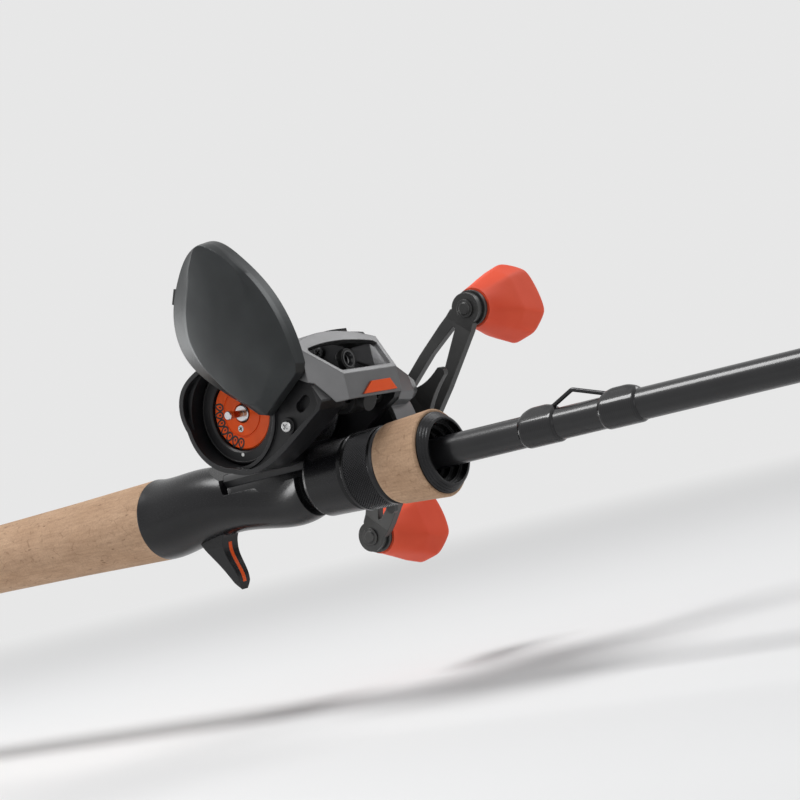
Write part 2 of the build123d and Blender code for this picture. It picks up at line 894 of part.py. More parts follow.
def window_face():
    """Window in the slope, wider at its arched top, with narrow side rails."""
    depth_share = (hood_front_x - hood_roof_front_x) / hood_slope
    palm_lean = (hood_palm_y - hood_panel_palm_y) / (hood_front_x - hood_palm_x) * depth_share
    gear_lean = (gear_frame_y - hood_panel_gear_y) / (hood_front_x - hood_gear_x) * depth_share
    palm = hood_panel_palm_y + window_rail * math.hypot(1, palm_lean)
    gear = hood_panel_gear_y - window_rail * math.hypot(1, gear_lean)
    low = window_rail
    high = hood_slope - window_brow
    shoulder = high - window_arch
    low_palm = (palm + palm_lean * low, low)
    low_gear = (gear + gear_lean * low, low)
    high_palm = (palm + palm_lean * shoulder, shoulder)
    high_gear = (gear + gear_lean * shoulder, shoulder)
    face = make_face([
        Line(low_palm, low_gear),
        Line(low_gear, high_gear),
        ThreePointArc(high_gear, (hood_crown_y, high), high_palm),
        Line(high_palm, low_palm),
    ])
    return fillet(face.vertices(), window_corner)


def front_hood():
    deep = hood_front_x
    solid = across(hood_outline(), hood_palm_y, gear_frame_y)
    solid &= extrude(hood_plan(), amount=2 * hood_roof_z)
    solid &= hood_crown_solid(0.0)
    room = polygon([
        (hood_roof_rear_x - deep, hood_roof_z + deep),
        (hood_roof_front_x, hood_roof_z + deep),
        (hood_roof_front_x, hood_roof_z),
        (hood_front_x, hood_panel_top_z),
        (hood_front_x, hood_panel_low_z - deep),
        (hood_roof_rear_x - deep, hood_panel_low_z - deep),
    ])
    room = across(offset(room, -hood_wall, kind=Kind.INTERSECTION), hood_palm_y, gear_frame_y)
    inner_plan = offset(hood_plan(deep), -hood_wall, kind=Kind.INTERSECTION)
    room &= extrude(inner_plan, amount=2 * hood_roof_z)
    room &= hood_crown_solid(hood_wall)
    window = extrude(slope_plane() * window_face(), amount=2 * hood_wall, both=True)
    boss = solid & disc(plate_pivot, pivot_boss_radius, hood_palm_y, pivot_pin_end)
    shell = solid - room - window + boss
    return shell - disc(plate_pivot, pivot_radius + seat_gap, palm_rim_y - 1, pivot_pin_end + 1)


def hood_badge():
    low = hood_panel_low_z + badge_edge
    left = badge_middle_y - badge_half_width
    right = badge_middle_y + badge_half_width
    face = polygon([
        (left, low),
        (right, low),
        (right - badge_slant / 2, low + badge_height),
        (left + badge_slant, low + badge_height),
    ])
    return along(face, hood_front_x, hood_front_x + badge_thickness)


def spot(place, radius):
    """Circle at a place given as X and Z."""
    return Pos(*place) * Circle(radius)


def rim_outline(inset):
    """Wing outline that never gets thinner than a rim round the spool opening."""
    return wing(inset) + spot(spool_axis, opening_radius + frame_rim - inset)


def reel_frame():
    side = rim_outline(frame_inset) - spot(spool_axis, opening_radius)
    side -= offset(hood_side(), seat_gap, kind=Kind.INTERSECTION)
    worm_hole = spot(worm_axis, worm_tube_radius + seat_gap)
    palm_side = side - worm_hole
    gear_side = side + (spot(drive_axis, drive_lug_radius) - spot(spool_axis, opening_radius)) - worm_hole
    for place in cover_screw_spots:
        gear_side -= spot(place, screw_radius + seat_gap)
    frame = across(palm_side, palm_frame_y, palm_inner_y)
    frame += across(gear_side, gear_inner_y, gear_frame_y)
    clear_spool = spot(spool_axis, opening_radius + 0.3)
    deck = (rim_outline(frame_inset) & (Pos(deck_front_x - 20, 5) * Rectangle(40, 18))) - clear_spool
    rear_bar = (rim_outline(frame_inset) & (Pos(-20, rear_bar_top_z - 10) * Rectangle(16, 20))) - clear_spool
    frame += across(deck + rear_bar, palm_inner_y, gear_inner_y)
    arch = foot_arch(shelf_radius + foot_thickness, foot_half_width)
    frame += along(arch, foot_rear_x, foot_front_x)
    return frame - tube(foot_rear_x - 1, foot_front_x + 1, 0, shelf_radius + seat_gap)


def palm_bezel():
    floor = palm_rim_y + bezel_pocket
    body = across(rim_outline(frame_inset), palm_rim_y, palm_frame_y)
    body -= across(wing(frame_inset + wing_wall), palm_rim_y, floor)
    for place in bezel_screw_spots:
        body += disc(place, screw_head_radius + 0.8, floor - 0.8, floor)
    rim = opening_radius + 1.2
    body += ring(spool_axis, opening_radius - 0.5, rim, floor - 0.8, floor)
    body -= disc(spool_axis, opening_radius, palm_rim_y - 1, palm_frame_y + 1)
    for place in bezel_screw_spots:
        body -= disc(place, screw_radius + seat_gap, palm_rim_y, palm_frame_y)
    recess = Pos(*bezel_recess) * SlotCenterToCenter(3.0, 3.4, rotation=30)
    body -= across(recess, floor, floor + 2.0)
    hood_room = offset(hood_side(), seat_gap, kind=Kind.INTERSECTION)
    return body - across(hood_room, palm_rim_y - 1, palm_frame_y + 1)


def screw(place, y_head, y_end):
    """Round headed screw along Y, with the head at its first station."""
    step = math.copysign(1.0, y_end - y_head)
    head = y_head + step * screw_head_height
    body = turned([
        (0, y_head),
        (screw_head_radius - 0.3, y_head),
        (screw_head_radius, y_head + step * 0.3),
        (screw_head_radius, head),
        (screw_radius, head),
        (screw_radius, y_end),
        (0, y_end),
    ], place)
    cross = Rectangle(screw_cross, screw_cross_width) + Rectangle(screw_cross_width, screw_cross)
    cross = Pos(*place) * (Rot(0, 0, screw_cross_turn) * cross)
    ends = sorted((y_head - step, y_head + step * screw_cross_depth))
    return body - across(cross, *ends)


def bezel_screws():
    floor = palm_rim_y + bezel_pocket - 0.8
    return Compound(children=[screw(p, floor - screw_head_height, palm_frame_y) for p in bezel_screw_spots])


def cover_screws():
    head = gear_inner_y - screw_head_height
    return Compound(children=[screw(p, head, gear_frame_y + 8.0) for p in cover_screw_spots])


def plate_pivot_pin():
    return disc(plate_pivot, pivot_radius, pivot_pin_start, pivot_pin_end)


def gear_plate():
    plate_top = gear_frame_y + gear_plate_thickness
    slab = across(Pos(*wing_centre) * Rectangle(4 * drum_radius, 4 * drum_radius), gear_frame_y, plate_top)
    body = slab & cover_form(cover_wall + seat_gap, gear_frame_y - 1, cover_top_y - cover_wall)
    body += disc(drive_axis, drum_radius - cover_wall - seat_gap, gear_frame_y, plate_top)
    body += disc(spool_axis, spool_bearing_radius + 1.4, gear_inner_y + 0.6, plate_top)
    for place in yoke_post_spots():
        body += disc(place, yoke_post_radius, plate_top - 1, yoke_y + 5.0)
    body += disc(idler_centre(), idler_post_radius, plate_top - 1, level_y + level_gear_width)
    body -= disc(spool_axis, spool_bearing_radius + seat_gap, gear_inner_y + 1.2, plate_top + 1)
    body -= disc(spool_axis, spool_bearing_radius - 1.0, gear_inner_y, plate_top + 1)
    body -= disc(drive_axis, drive_bearing_radius + seat_gap, gear_frame_y + 0.3, plate_top + 1)
    body -= disc(worm_axis, worm_tube_radius, gear_frame_y - 1, plate_top + 1)
    for place in cover_screw_spots:
        body -= disc(place, cover_boss_radius + seat_gap, gear_frame_y - 1, plate_top + 1)
    return body


def spool_bearings():
    bore = spool_shaft_radius + running_gap
    palm = ring(spool_axis, bore, spool_bearing_radius, palm_bearing_y, palm_bearing_y + spool_bearing_width)
    start = gear_inner_y + 1.2
    gear = ring(spool_axis, bore, spool_bearing_radius, start, start + spool_bearing_width)
    return Compound(children=[palm, gear])


def shaft_bearings():
    low = gear_frame_y + 0.3
    drive = ring(drive_axis, drive_shaft_radius + running_gap, drive_bearing_radius, low, level_y - 0.3)
    sleeve = pinion_sleeve_radius + running_gap
    pinion_ring = ring(spool_axis, sleeve, pinion_bearing_radius, pinion_bearing_y, pinion_bearing_y + 2.5)
    return Compound(children=[drive, pinion_ring])


def one_way_bearing():
    return ring(drive_axis, one_way_bore + running_gap, one_way_radius, one_way_y, one_way_y + one_way_width)


def cover_form(inset, y_from, y_to):
    """Tapered wing of the gear cover, with its front top corner planed off."""
    stations = (
        (wing(cover_lean + inset, cover_lean), y_from),
        (wing(2 * cover_lean + inset, 2 * cover_lean), gear_frame_y + cover_depth / 2),
        (wing(cover_top_inset + inset, 2 * cover_lean), y_to),
    )
    form = loft([Plane.XZ.offset(-y) * face for face, y in stations], ruled=True)
    steep = Plane(origin=(hood_gear_x, gear_frame_y, cover_corner_z), z_dir=cover_steep_normal)
    flat_z = cover_corner_z - cover_flat_drop
    flat = Plane(origin=(hood_gear_x, gear_frame_y, flat_z), z_dir=cover_flat_normal)
    block = across(Pos(*wing_front_top) * Rectangle(4 * drum_radius, 4 * drum_radius), y_from - 1, y_to + 1)
    corner = split(block, bisect_by=steep.offset(-inset), keep=Keep.TOP)
    return form - split(corner, bisect_by=flat.offset(-inset), keep=Keep.TOP)


def gear_cover():
    body = cover_form(0.0, gear_frame_y, cover_top_y)
    drum_top = cover_top_y - 1.0
    boss_radius = one_way_radius + cover_wall
    boss_top = one_way_y + one_way_width + 0.5
    body += turned([
        (0, gear_frame_y),
        (drum_radius, gear_frame_y),
        (drum_radius, drum_top - 4.5),
        (drum_radius - 3.0, drum_top - 1.0),
        (boss_radius + 3.0, drum_top),
        (boss_radius, drum_top + 2.0),
        (boss_radius, boss_top),
        (0, boss_top),
    ], drive_axis)
    top = cover_top_y - cover_wall
    body += disc(spool_axis, cap_bore_radius, top, cap_boss_y)
    inset = cover_wall
    room = cover_form(inset, gear_frame_y - 1, top)
    room += turned([
        (0, gear_frame_y - 1),
        (drum_radius - inset, gear_frame_y - 1),
        (drum_radius - inset, drum_top - 5.0),
        (drum_radius - 3.0 - inset, drum_top - 1.0 - inset),
        (0, drum_top - inset),
    ], drive_axis)
    for place in cover_screw_spots:
        room -= disc(place, cover_boss_radius, gear_frame_y, top)
    body -= room
    for place in cover_screw_spots:
        body -= disc(place, screw_radius + seat_gap, gear_frame_y - 1, gear_frame_y + 8.5)
    body -= disc(drive_axis, one_way_radius + seat_gap, one_way_y - 2.5, boss_top - 0.5)
    body -= disc(drive_axis, one_way_bore + moving_gap, one_way_y - 5, boss_top + 1)
    body -= disc(spool_axis, pinion_bearing_radius + seat_gap, top - 3, pinion_bearing_y + 2.5)
    return body - disc(spool_axis, pinion_sleeve_radius + moving_gap, top - 3, cap_boss_y + 1)


def worm_tube():
    body = ring(worm_axis, worm_radius + moving_gap, worm_tube_radius, palm_frame_y + 1.0, gear_frame_y)
    slot = Rot(0, 0, -pawl_tilt) * (Pos(worm_tube_radius, 0) * Rectangle(2 * worm_tube_radius, 2.2))
    slot = Pos(*worm_axis) * slot
    return body - across(slot, palm_inner_y + 2.0, gear_inner_y - 2.0)


# Brake on the palm side


def brake_housing():
    floor = dial_face_y + dial_thickness + moving_gap
    rim = dial_face_y - 1.2
    outer = opening_radius - seat_gap
    bearing_end = palm_bearing_y + spool_bearing_width
    return turned([
        (post_radius + seat_gap, floor),
        (dial_radius + moving_gap, floor),
        (dial_radius + moving_gap, rim + 0.6),
        (dial_radius + moving_gap + 0.6, rim),
        (outer - 1.0, rim),
        (outer, rim + 1.0),
        (outer, palm_inner_y + 0.5),
        (outer - 1.4, palm_inner_y + 0.5),
        (outer - 1.4, floor + 1.0),
        (spool_bearing_radius + 1.4, floor + 1.0),
        (spool_bearing_radius + 1.4, bearing_end),
        (spool_bearing_radius + seat_gap, bearing_end),
        (spool_bearing_radius + seat_gap, palm_bearing_y),
        (post_radius + seat_gap, palm_bearing_y),
    ], spool_axis)


def brake_dial():
    back = dial_face_y + dial_thickness
    body = turned([
        (dial_hole_radius, dial_face_y),
        (dial_groove_radius - 0.3, dial_face_y),
        (dial_groove_radius - 0.3, dial_face_y + 0.3),
        (dial_groove_radius + 0.3, dial_face_y + 0.3),
        (dial_groove_radius + 0.3, dial_face_y),
        (dial_radius - 0.4, dial_face_y),
        (dial_radius, dial_face_y + 0.4),
        (dial_radius, back),
        (dial_hole_radius, back),
    ], spool_axis)
    place = (spool_axis[0] + dial_screw_spot[0], spool_axis[1] + dial_screw_spot[1])
    return body - disc(place, dial_screw_radius + seat_gap, dial_face_y - 1, dial_face_y + 1.2)


def dial_screw():
    place = (spool_axis[0] + dial_screw_spot[0], spool_axis[1] + dial_screw_spot[1])
    return disc(place, dial_screw_radius, dial_face_y - 0.1, dial_face_y + 1.2)


def dial_post():
    base_top = dial_face_y - 0.5
    floor = dial_face_y + dial_thickness + moving_gap
    return turned([
        (0, palm_rim_y),
        (post_radius + 0.1, palm_rim_y),
        (post_radius + 0.3, palm_rim_y + 0.3),
        (post_radius + 0.3, palm_rim_y + 1.8),
        (post_radius, palm_rim_y + 2.0),
        (post_radius, base_top),
        (post_base_radius - 0.3, base_top),
        (post_base_radius, base_top + 0.3),
        (post_base_radius, floor - seat_gap),
        (post_radius, floor - seat_gap),
        (post_radius, palm_bearing_y - 0.2),
        (0, palm_bearing_y - 0.2),
    ], spool_axis)


def magnet_spots():
    """Centres of the brake magnets round the spool axis."""
    for index in range(magnet_count):
        turn = 2 * math.pi * index / magnet_count
        yield (
            spool_axis[0] + magnet_circle * math.cos(turn),
            spool_axis[1] + magnet_circle * math.sin(turn),
        )


def magnet_carrier():
    inner = spool_bearing_radius + 1.4 + running_gap
    outer = magnet_circle + magnet_radius + 0.9
    body = ring(spool_axis, inner, outer, carrier_y, carrier_y + carrier_thickness)
    for place in magnet_spots():
        body -= disc(place, magnet_radius + seat_gap, carrier_y + 0.4, carrier_y + carrier_thickness + 1)
    return body


def brake_magnets():
    top = carrier_y + carrier_thickness
    return Compound(children=[disc(p, magnet_radius, carrier_y + 0.4, top) for p in magnet_spots()])


def spool():
    half = spool_half_width
    rim = spool_rim_thickness
    hub_inner = spool_hub_radius - 1.3
    boss = spool_shaft_radius + 2.6
    right = [
        (flange_radius, half),
        (flange_radius - 1.2, half),
        (flange_radius - 1.8, half - 0.5),
        (hub_inner, half - 1.2),
        (hub_inner, 1.5),
        (boss, 1.5),
        (boss, half + 0.2),
        (spool_shaft_radius + seat_gap, half + 0.2),
    ]
    left = [(radius, -y) for radius, y in reversed(right)]
    groove = [
        (flange_radius, rim - half),
        (flange_radius - 2.0, rim + 0.3 - half),
        (spool_hub_radius, rim + 1.6 - half),
        (spool_hub_radius, half - rim - 1.6),
        (flange_radius - 2.0, half - rim - 0.3),
        (flange_radius, half - rim),
    ]
    return turned(right + left + groove, spool_axis)


def spool_shaft():
    return turned([
        (0, palm_bearing_y + 0.3),
        (spool_shaft_radius, palm_bearing_y + 0.3),
        (spool_shaft_radius, cap_inside_y - 1.0),
        (spool_shaft_radius * 0.6, cap_inside_y - moving_gap),
        (0, cap_inside_y - moving_gap),
    ], spool_axis)


# Wing side plate, built closed and then swung open


def plate_shell(inset, lift):
    """Crowned form of the side plate, with a wide shoulder along its top edge."""
    rim = palm_rim_y - moving_gap
    face = plate_band + inset
    drop = (plate_shoulder - plate_band) / 2
    stations = (
        (wing(inset), rim + lift),
        (wing(inset + 0.5), rim - plate_rim_depth),
        (wing(face + drop, drop), rim - plate_depth + 0.9 + inset),
        (wing(face + drop + 5.0, drop), rim - plate_depth + inset),
    )
    return loft([Plane.XZ.offset(-y) * face_at for face_at, y in stations], ruled=True)


def latch_frame():
    """Plane at the latch, first axis outwards through the plate's lower edge."""
    return Plane(origin=(-11.9, 0, 15.6), x_dir=(-0.741, 0, -0.671), z_dir=(0, -1, 0))


def latch_block(reach, half_width, y_from, y_to, start):
    """Box at the latch, from a start to a reach along the outward direction."""
    place = latch_frame().offset(-y_from)
    face = Pos((start + reach) / 2, 0) * Rectangle(reach - start, 2 * half_width)
    return extrude(place * face, amount=y_from - y_to)


def swing(shape):
    """Turn a piece of the side plate to its open place."""
    pivot = Axis((plate_pivot[0], 0, plate_pivot[1]), (0, 1, 0))
    return shape.rotate(pivot, plate_open_angle)


def side_plate():
    rim = palm_rim_y - moving_gap
    body = plate_shell(0.0, 0.0) - plate_shell(wing_wall, 1.0)
    boss = disc(plate_pivot, pivot_boss_radius, rim, rim - plate_depth + 0.8)
    body += boss & plate_shell(0.0, 0.0)
    body -= disc(plate_pivot, pivot_radius + running_gap, rim + 1, pivot_pin_start - moving_gap)
    half = latch_width / 2 + moving_gap
    top = rim - latch_thickness - moving_gap
    body -= latch_block(latch_reach + 2.0, half, rim + 1.0, top, -wing_wall - 1.5)
    return swing(body)


def plate_latch():
    rim = palm_rim_y - moving_gap
    return swing(latch_block(latch_reach, latch_width / 2, rim, rim - latch_thickness, -latch_root))


# Gear train and handle


def drive_phase():
    return direction_between(drive_axis, spool_axis)


def drive_gear():
    face = gear_face(drive_teeth, gear_module, drive_phase(), 0.3, 0.62, 1)
    body = across(Pos(*drive_axis) * face, drive_gear_y, drive_gear_y + gear_width)
    dish = ring(drive_axis, drag_radius + 0.3, drag_radius + 2.0, drive_gear_y - 1, drive_gear_y + 1.2)
    return body - dish - disc(drive_axis, drive_shaft_radius + seat_gap, 0, 2 * drive_gear_y)


def pinion():
    phase = mesh_phase(direction_between(drive_axis, spool_axis), drive_phase(), drive_teeth, pinion_teeth)
    face = gear_face(pinion_teeth, gear_module, phase, 0.4, 0.45, 2)
    neck = gear_module * pinion_teeth / 2 - 0.55
    start = yoke_y - 0.5
    teeth_y = yoke_y + yoke_thickness + 0.4
    body = across(Pos(*spool_axis) * face, teeth_y, pinion_bearing_y - yoke_travel - 0.5)
    body += disc(spool_axis, neck, start, teeth_y + 1)
    body += disc(spool_axis, neck + 0.9, start - 0.1, yoke_y - 0.2)
    body += disc(spool_axis, pinion_sleeve_radius, pinion_bearing_y - 4, pinion_bearing_y + 3.0)
    return body - disc(spool_axis, spool_shaft_radius + running_gap, 0, 2 * pinion_bearing_y)


def yoke_post_spots():
    """Two posts either side of the pinion, square to the line between the axes."""
    turn = math.radians(drive_direction + 90)
    reach = (yoke_post_reach * math.cos(turn), yoke_post_reach * math.sin(turn))
    return [(spool_axis[0] + side * reach[0], spool_axis[1] + side * reach[1]) for side in (-1, 1)]


def clutch_yoke():
    neck = gear_module * pinion_teeth / 2 - 0.55
    bar = Rot(0, 0, drive_direction + 90) * SlotCenterToCenter(2 * yoke_post_reach, 2 * yoke_half_width)
    face = Pos(*spool_axis) * (bar + Circle(neck + 2.4))
    slot = Rot(0, 0, drive_direction) * (Pos(-10, 0) * Rectangle(20, 2 * (neck + running_gap)))
    face -= Pos(*spool_axis) * (slot + Circle(neck + running_gap))
    for place in yoke_post_spots():
        face -= spot(place, yoke_post_radius + running_gap)
    return across(face, yoke_y, yoke_y + yoke_thickness)


def thumb_bar():
    left = spool_axis[0] - opening_radius - 0.8
    top = thumb_bar_z
    edges = [
        Spline((left - 4.6, top - 0.6), (left - 1.8, top - 0.9), (left - 0.6, top + 1.4)),
        Line((left - 0.6, top + 1.4), (left, top - 3.0)),
        Line((left, top - 3.0), (left - 0.2, top - 6.0)),
        Line((left - 0.2, top - 6.0), (left - 3.6, top - 5.6)),
        Line((left - 3.6, top - 5.6), (left - 4.6, top - 0.6)),
    ]
    return across(make_face(edges), palm_inner_y + 0.4, gear_inner_y - 0.4)


def level_gear(teeth, phase, axis, bore):
    """Thin spur gear of the level wind train."""
    face = gear_face(teeth, level_module, phase, 0.4, 0.6, 2)
    body = across(Pos(*axis) * face, level_y, level_y + level_gear_width)
    return body - disc(axis, bore, level_y - 1, level_y + level_gear_width + 1)


def level_wind_drive_gear():
    return level_gear(level_drive_teeth, 0.0, drive_axis, drive_shaft_radius + seat_gap)


def idler_phase():
    return mesh_phase(direction_between(drive_axis, idler_centre()), 0.0, level_drive_teeth, idler_teeth)


def idler_gear():
    return level_gear(idler_teeth, idler_phase(), idler_centre(), idler_post_radius + running_gap)


def worm_shaft():
    turn = direction_between(idler_centre(), worm_axis)
    phase = mesh_phase(turn, idler_phase(), idler_teeth, worm_teeth)
    body = level_gear(worm_teeth, phase, worm_axis, worm_radius - 1.0)
    body += disc(worm_axis, worm_radius - 0.8, palm_frame_y + 1.2, level_y + level_gear_width)
    return body + disc(worm_axis, worm_radius, palm_inner_y + 0.5, gear_inner_y - 0.5)


def ratchet_wheel():
    teeth = 10
    points = []
    for tooth in range(teeth):
        turn = 2 * math.pi * tooth / teeth
        points.append((ratchet_radius * math.cos(turn), ratchet_radius * math.sin(turn)))
        turn += 2 * math.pi / teeth * 0.92
        points.append((ratchet_radius * 0.8 * math.cos(turn), ratchet_radius * 0.8 * math.sin(turn)))
    face = Pos(*drive_axis) * polygon(points)
    body = across(face, ratchet_y, drive_gear_y - 0.1)
    return body - disc(drive_axis, drive_shaft_radius + seat_gap, 0, 2 * ratchet_y)


def drag_washers():
    step = drag_stack_height / drag_count
    bore = drive_shaft_radius + seat_gap
    lows = [drag_y + index * step for index in range(drag_count)]
    washers = [ring(drive_axis, bore, drag_radius, low, low + step - seat_gap) for low in lows]
    return Compound(children=washers)


def drive_shaft():
    return turned([
        (0, gear_frame_y + 0.4),
        (drive_shaft_radius, gear_frame_y + 0.4),
        (drive_shaft_radius, drag_y + drag_stack_height),
        (one_way_bore, drag_y + drag_stack_height),
        (one_way_bore, star_hub_y - moving_gap),
        (drive_shaft_radius, star_hub_y - moving_gap),
        (drive_shaft_radius, arm_hub_y + arm_thickness + nut_height + 0.6),
        (0, arm_hub_y + arm_thickness + nut_height + 0.6),
    ], drive_axis)


def star_prong():
    """One curved prong of the star, pointing along the first axis."""
    root = star_disc_radius - 2.5
    tip = star_tip_radius
    middle = (root + tip) / 2
    near = Spline((root, 7.5), (middle, 1.8), (tip - 1.2, 1.6), tangents=((0.6, -0.8), (1, 0.1)))
    nose = ThreePointArc((tip - 1.2, 1.6), (tip, 0.0), (tip - 1.2, -1.8))
    far = Spline((tip - 1.2, -1.8), (middle, -3.6), (root, -8.0))
    return make_face([near, nose, far, Line((root, -8.0), (root, 7.5))])


def star_drag():
    plan = Circle(star_disc_radius)
    for index in range(star_count):
        plan += Rot(0, 0, star_phase + 360 * index / star_count) * star_prong()
    prism = across(Pos(*drive_axis) * plan, star_hub_y - 1, star_tip_y + 4)
    top = star_hub_y + star_thickness
    dish = turned([
        (drive_shaft_radius + running_gap, star_hub_y),
        (star_disc_radius - 5, star_hub_y),
        (star_disc_radius, star_hub_y + 1.4),
        (star_tip_radius + 1, star_tip_y - star_thickness),
        (star_tip_radius + 1, star_tip_y),
        (star_disc_radius, top + 1.6),
        (star_disc_radius - 5, top + 0.6),
        (drive_shaft_radius + running_gap, top + 0.6),
    ], drive_axis)
    return prism & dish


def arm_plan():
    """Half of the handle arm seen from the side, with its triangular window."""
    end = arm_half_length
    arm = polygon([
        (0, 8.5), (10, 7.6), (24, 7.2), (36, 6.1), (end - 3, arm_boss_radius - 0.2), (end + 1, 0),
        (end - 3, 0.4 - arm_boss_radius), (20, -8.6), (11, -9.6), (0, -8.5),
    ])
    arm += Pos(end, 0) * Circle(arm_boss_radius)
    window = polygon([(12.5, 4.0), (26, 3.4), (end - 7.5, 1.4), (end - 7.5, 0.4), (19.5, -5.2), (12.5, -5.8)])
    return arm - fillet(window.vertices(), 0.35)


def handle_arm():
    plan = arm_plan() + Rot(0, 0, 180) * arm_plan() + Circle(arm_hub_radius)
    plan = Pos(*drive_axis) * (Rot(0, 0, arm_angle) * plan)
    prism = across(plan, arm_hub_y - 2, arm_end_y + arm_thickness + 2)
    bend = arm_hub_radius - 1.0
    tip = arm_half_length - 6.0
    far = arm_half_length + 2 * arm_boss_radius
    half = [(bend, arm_hub_y), (tip, arm_end_y), (far, arm_end_y)]
    low = [(-s, y) for s, y in reversed(half)] + half
    high = [(s, y + arm_thickness) for s, y in reversed(low)]
    side = Plane(
        origin=(drive_axis[0], 0, drive_axis[1]),
        x_dir=(arm_direction[0], 0, arm_direction[1]),
        z_dir=(-arm_direction[1], 0, arm_direction[0]),
    )
    body = prism & extrude(side * polygon(low + high), amount=4 * arm_hub_radius, both=True)
    body -= disc(drive_axis, drive_shaft_radius + seat_gap, 0, 2 * arm_end_y)
    for place in knob_spots():
        body -= disc(place, spindle_radius + seat_gap, 0, 2 * arm_end_y)
    return body


def handle_nut():
    low = arm_hub_y + arm_thickness
    nut = RegularPolygon(nut_across / 2, 6, major_radius=False) - Circle(drive_shaft_radius + seat_gap)
    hex_nut = across(Pos(*drive_axis) * nut, low, low + nut_height)
    keeper_face = Pos(*drive_axis) * (Rot(0, 0, arm_angle) * SlotCenterToCenter(10.0, 8.5))
    keeper = across(keeper_face, low + nut_height + 0.6, low + nut_height + 1.6)
    inner = nut_across / 2 + 0.9
    keeper += ring(drive_axis, inner, inner + 0.7, low + seat_gap, low + nut_height + 1.6)
    return Compound(children=[hex_nut, keeper])


def knob_spots():
    """Upper and lower knob axes."""
    reach = (arm_half_length * arm_direction[0], arm_half_length * arm_direction[1])
    return [(drive_axis[0] + side * reach[0], drive_axis[1] + side * reach[1]) for side in (1, -1)]


def knob_spindles():
    back = arm_end_y + arm_thickness
    spindle = [
        (0, arm_end_y - 0.9),
        (1.9, arm_end_y - 0.9),
        (2.1, arm_end_y - 0.5),
        (3.1, arm_end_y - 0.5),
        (3.1, arm_end_y - seat_gap),
        (spindle_radius, arm_end_y - seat_gap),
        (spindle_radius, back + seat_gap),
        (collar_radius, back + seat_gap),
        (collar_radius, back + collar_length),
        (spindle_radius, back + collar_length),
        (spindle_radius, back + collar_length + knob_length - knob_end_wall),
        (0, back + collar_length + knob_length - knob_end_wall),
    ]
    return Compound(children=[turned(spindle, place) for place in knob_spots()])


def knob_section(half_thick, half_wide):
    """Eight sided section of a knob, thinner at its two edges."""
    edge = half_thick * knob_edge_share
    flat = half_wide * knob_flat_share
    right = [(edge, -half_wide), (half_thick, -flat), (half_thick, flat), (edge, half_wide)]
    face = polygon(right + [(-x, -z) for x, z in right])
    return fillet(face.vertices(), knob_fillet)


def knob(place):
    """Paddle knob with a rounded far end, free to turn on its spindle."""
    low = arm_end_y + arm_thickness + collar_length + moving_gap
    neck = knob_neck / 2
    stations = (
        (0.0, neck, neck),
        (knob_neck_length, neck + 0.5, neck + 1.2),
        (knob_length * 0.75, knob_thickness / 2, knob_width / 2),
        (knob_length, knob_thickness / 2 - 1.0, knob_width / 2),
    )
    sections = [
        Plane.XZ.offset(-low - rise) * (Pos(*place) * knob_section(half_thick, half_wide))
        for rise, half_thick, half_wide in stations
    ]
    half = knob_width / 2
    shoulder = low + knob_length - knob_bulge
    fan = make_face([
        Line((low - 1, -half), (low - 1, half)),
        Line((low - 1, half), (shoulder, half)),
        ThreePointArc((shoulder, half), (low + knob_length, 0), (shoulder, -half)),
        Line((shoulder, -half), (low - 1, -half)),
    ])
    side = Plane(origin=(place[0], 0, place[1]), x_dir=(0, 1, 0), z_dir=(1, 0, 0))
    body = loft(sections, ruled=True) & extrude(side * fan, amount=knob_thickness, both=True)
    return body - disc(place, spindle_radius + running_gap, low - 1, low + knob_length - knob_end_wall)


def cast_control_cap():
    low = cover_top_y + 0.6
    return turned([
        (0, cap_inside_y),
        (cap_bore_radius + running_gap, cap_inside_y),
        (cap_bore_radius + running_gap, low),
        (cap_radius - 0.3, low),
        (cap_radius, low + 0.5),
        (cap_radius, cap_top_y - 1.0),
        (cap_radius - 1.2, cap_top_y),
        (0, cap_top_y),
    ], spool_axis)


def pawl_rod(radius, start, end):
    """Round bar along the pawl, measured from the worm axis."""
    tilt = math.radians(-pawl_tilt)
    run = (math.cos(tilt), 0, math.sin(tilt))
    origin = (worm_axis[0] + start * run[0], 0, worm_axis[1] + start * run[2])
    return Solid.make_cylinder(radius, end - start, Plane(origin=origin, z_dir=run))


def line_guide():
    half = carriage_half_width
    body = ring(worm_axis, worm_tube_radius + running_gap, carriage_radius, -half, half)
    top = line_ring_z - line_ring_radius
    hoop_x = worm_axis[0] + line_ring_reach
    stem = Pos(hoop_x, (worm_axis[1] + top) / 2) * Rectangle(line_stem, top - worm_axis[1])
    body += across(stem, -line_stem, line_stem)
    body += along(Pos(0, line_ring_z) * Circle(line_ring_radius + line_hoop_wall), hoop_x - 1.0, hoop_x + 1.0)
    body -= along(Pos(0, line_ring_z) * Circle(line_ring_radius + seat_gap), hoop_x - 2.0, hoop_x + 2.0)
    body += pawl_rod(pawl_radius + 1.5, worm_tube_radius + 0.3, pawl_cap_reach)
    body -= pawl_rod(pawl_radius + running_gap, 0.0, pawl_cap_reach - 0.8)
    return body - disc(worm_axis, worm_tube_radius + running_gap, -2 * half, 2 * half)


def line_guide_ring():
    half = 1.2
    section = polygon([
        (-half, line_ring_radius - 0.5), (-half, line_ring_radius), (half, line_ring_radius),
        (half, line_ring_radius - 0.5), (0.4, line_ring_radius - 0.9), (-0.4, line_ring_radius - 0.9),
    ])
    return Pos(worm_axis[0] + line_ring_reach, 0, line_ring_z) * revolve(section, Axis.X)


def level_wind_pawl():
    return pawl_rod(pawl_radius, worm_tube_radius + running_gap, pawl_cap_reach - 0.8 - seat_gap)


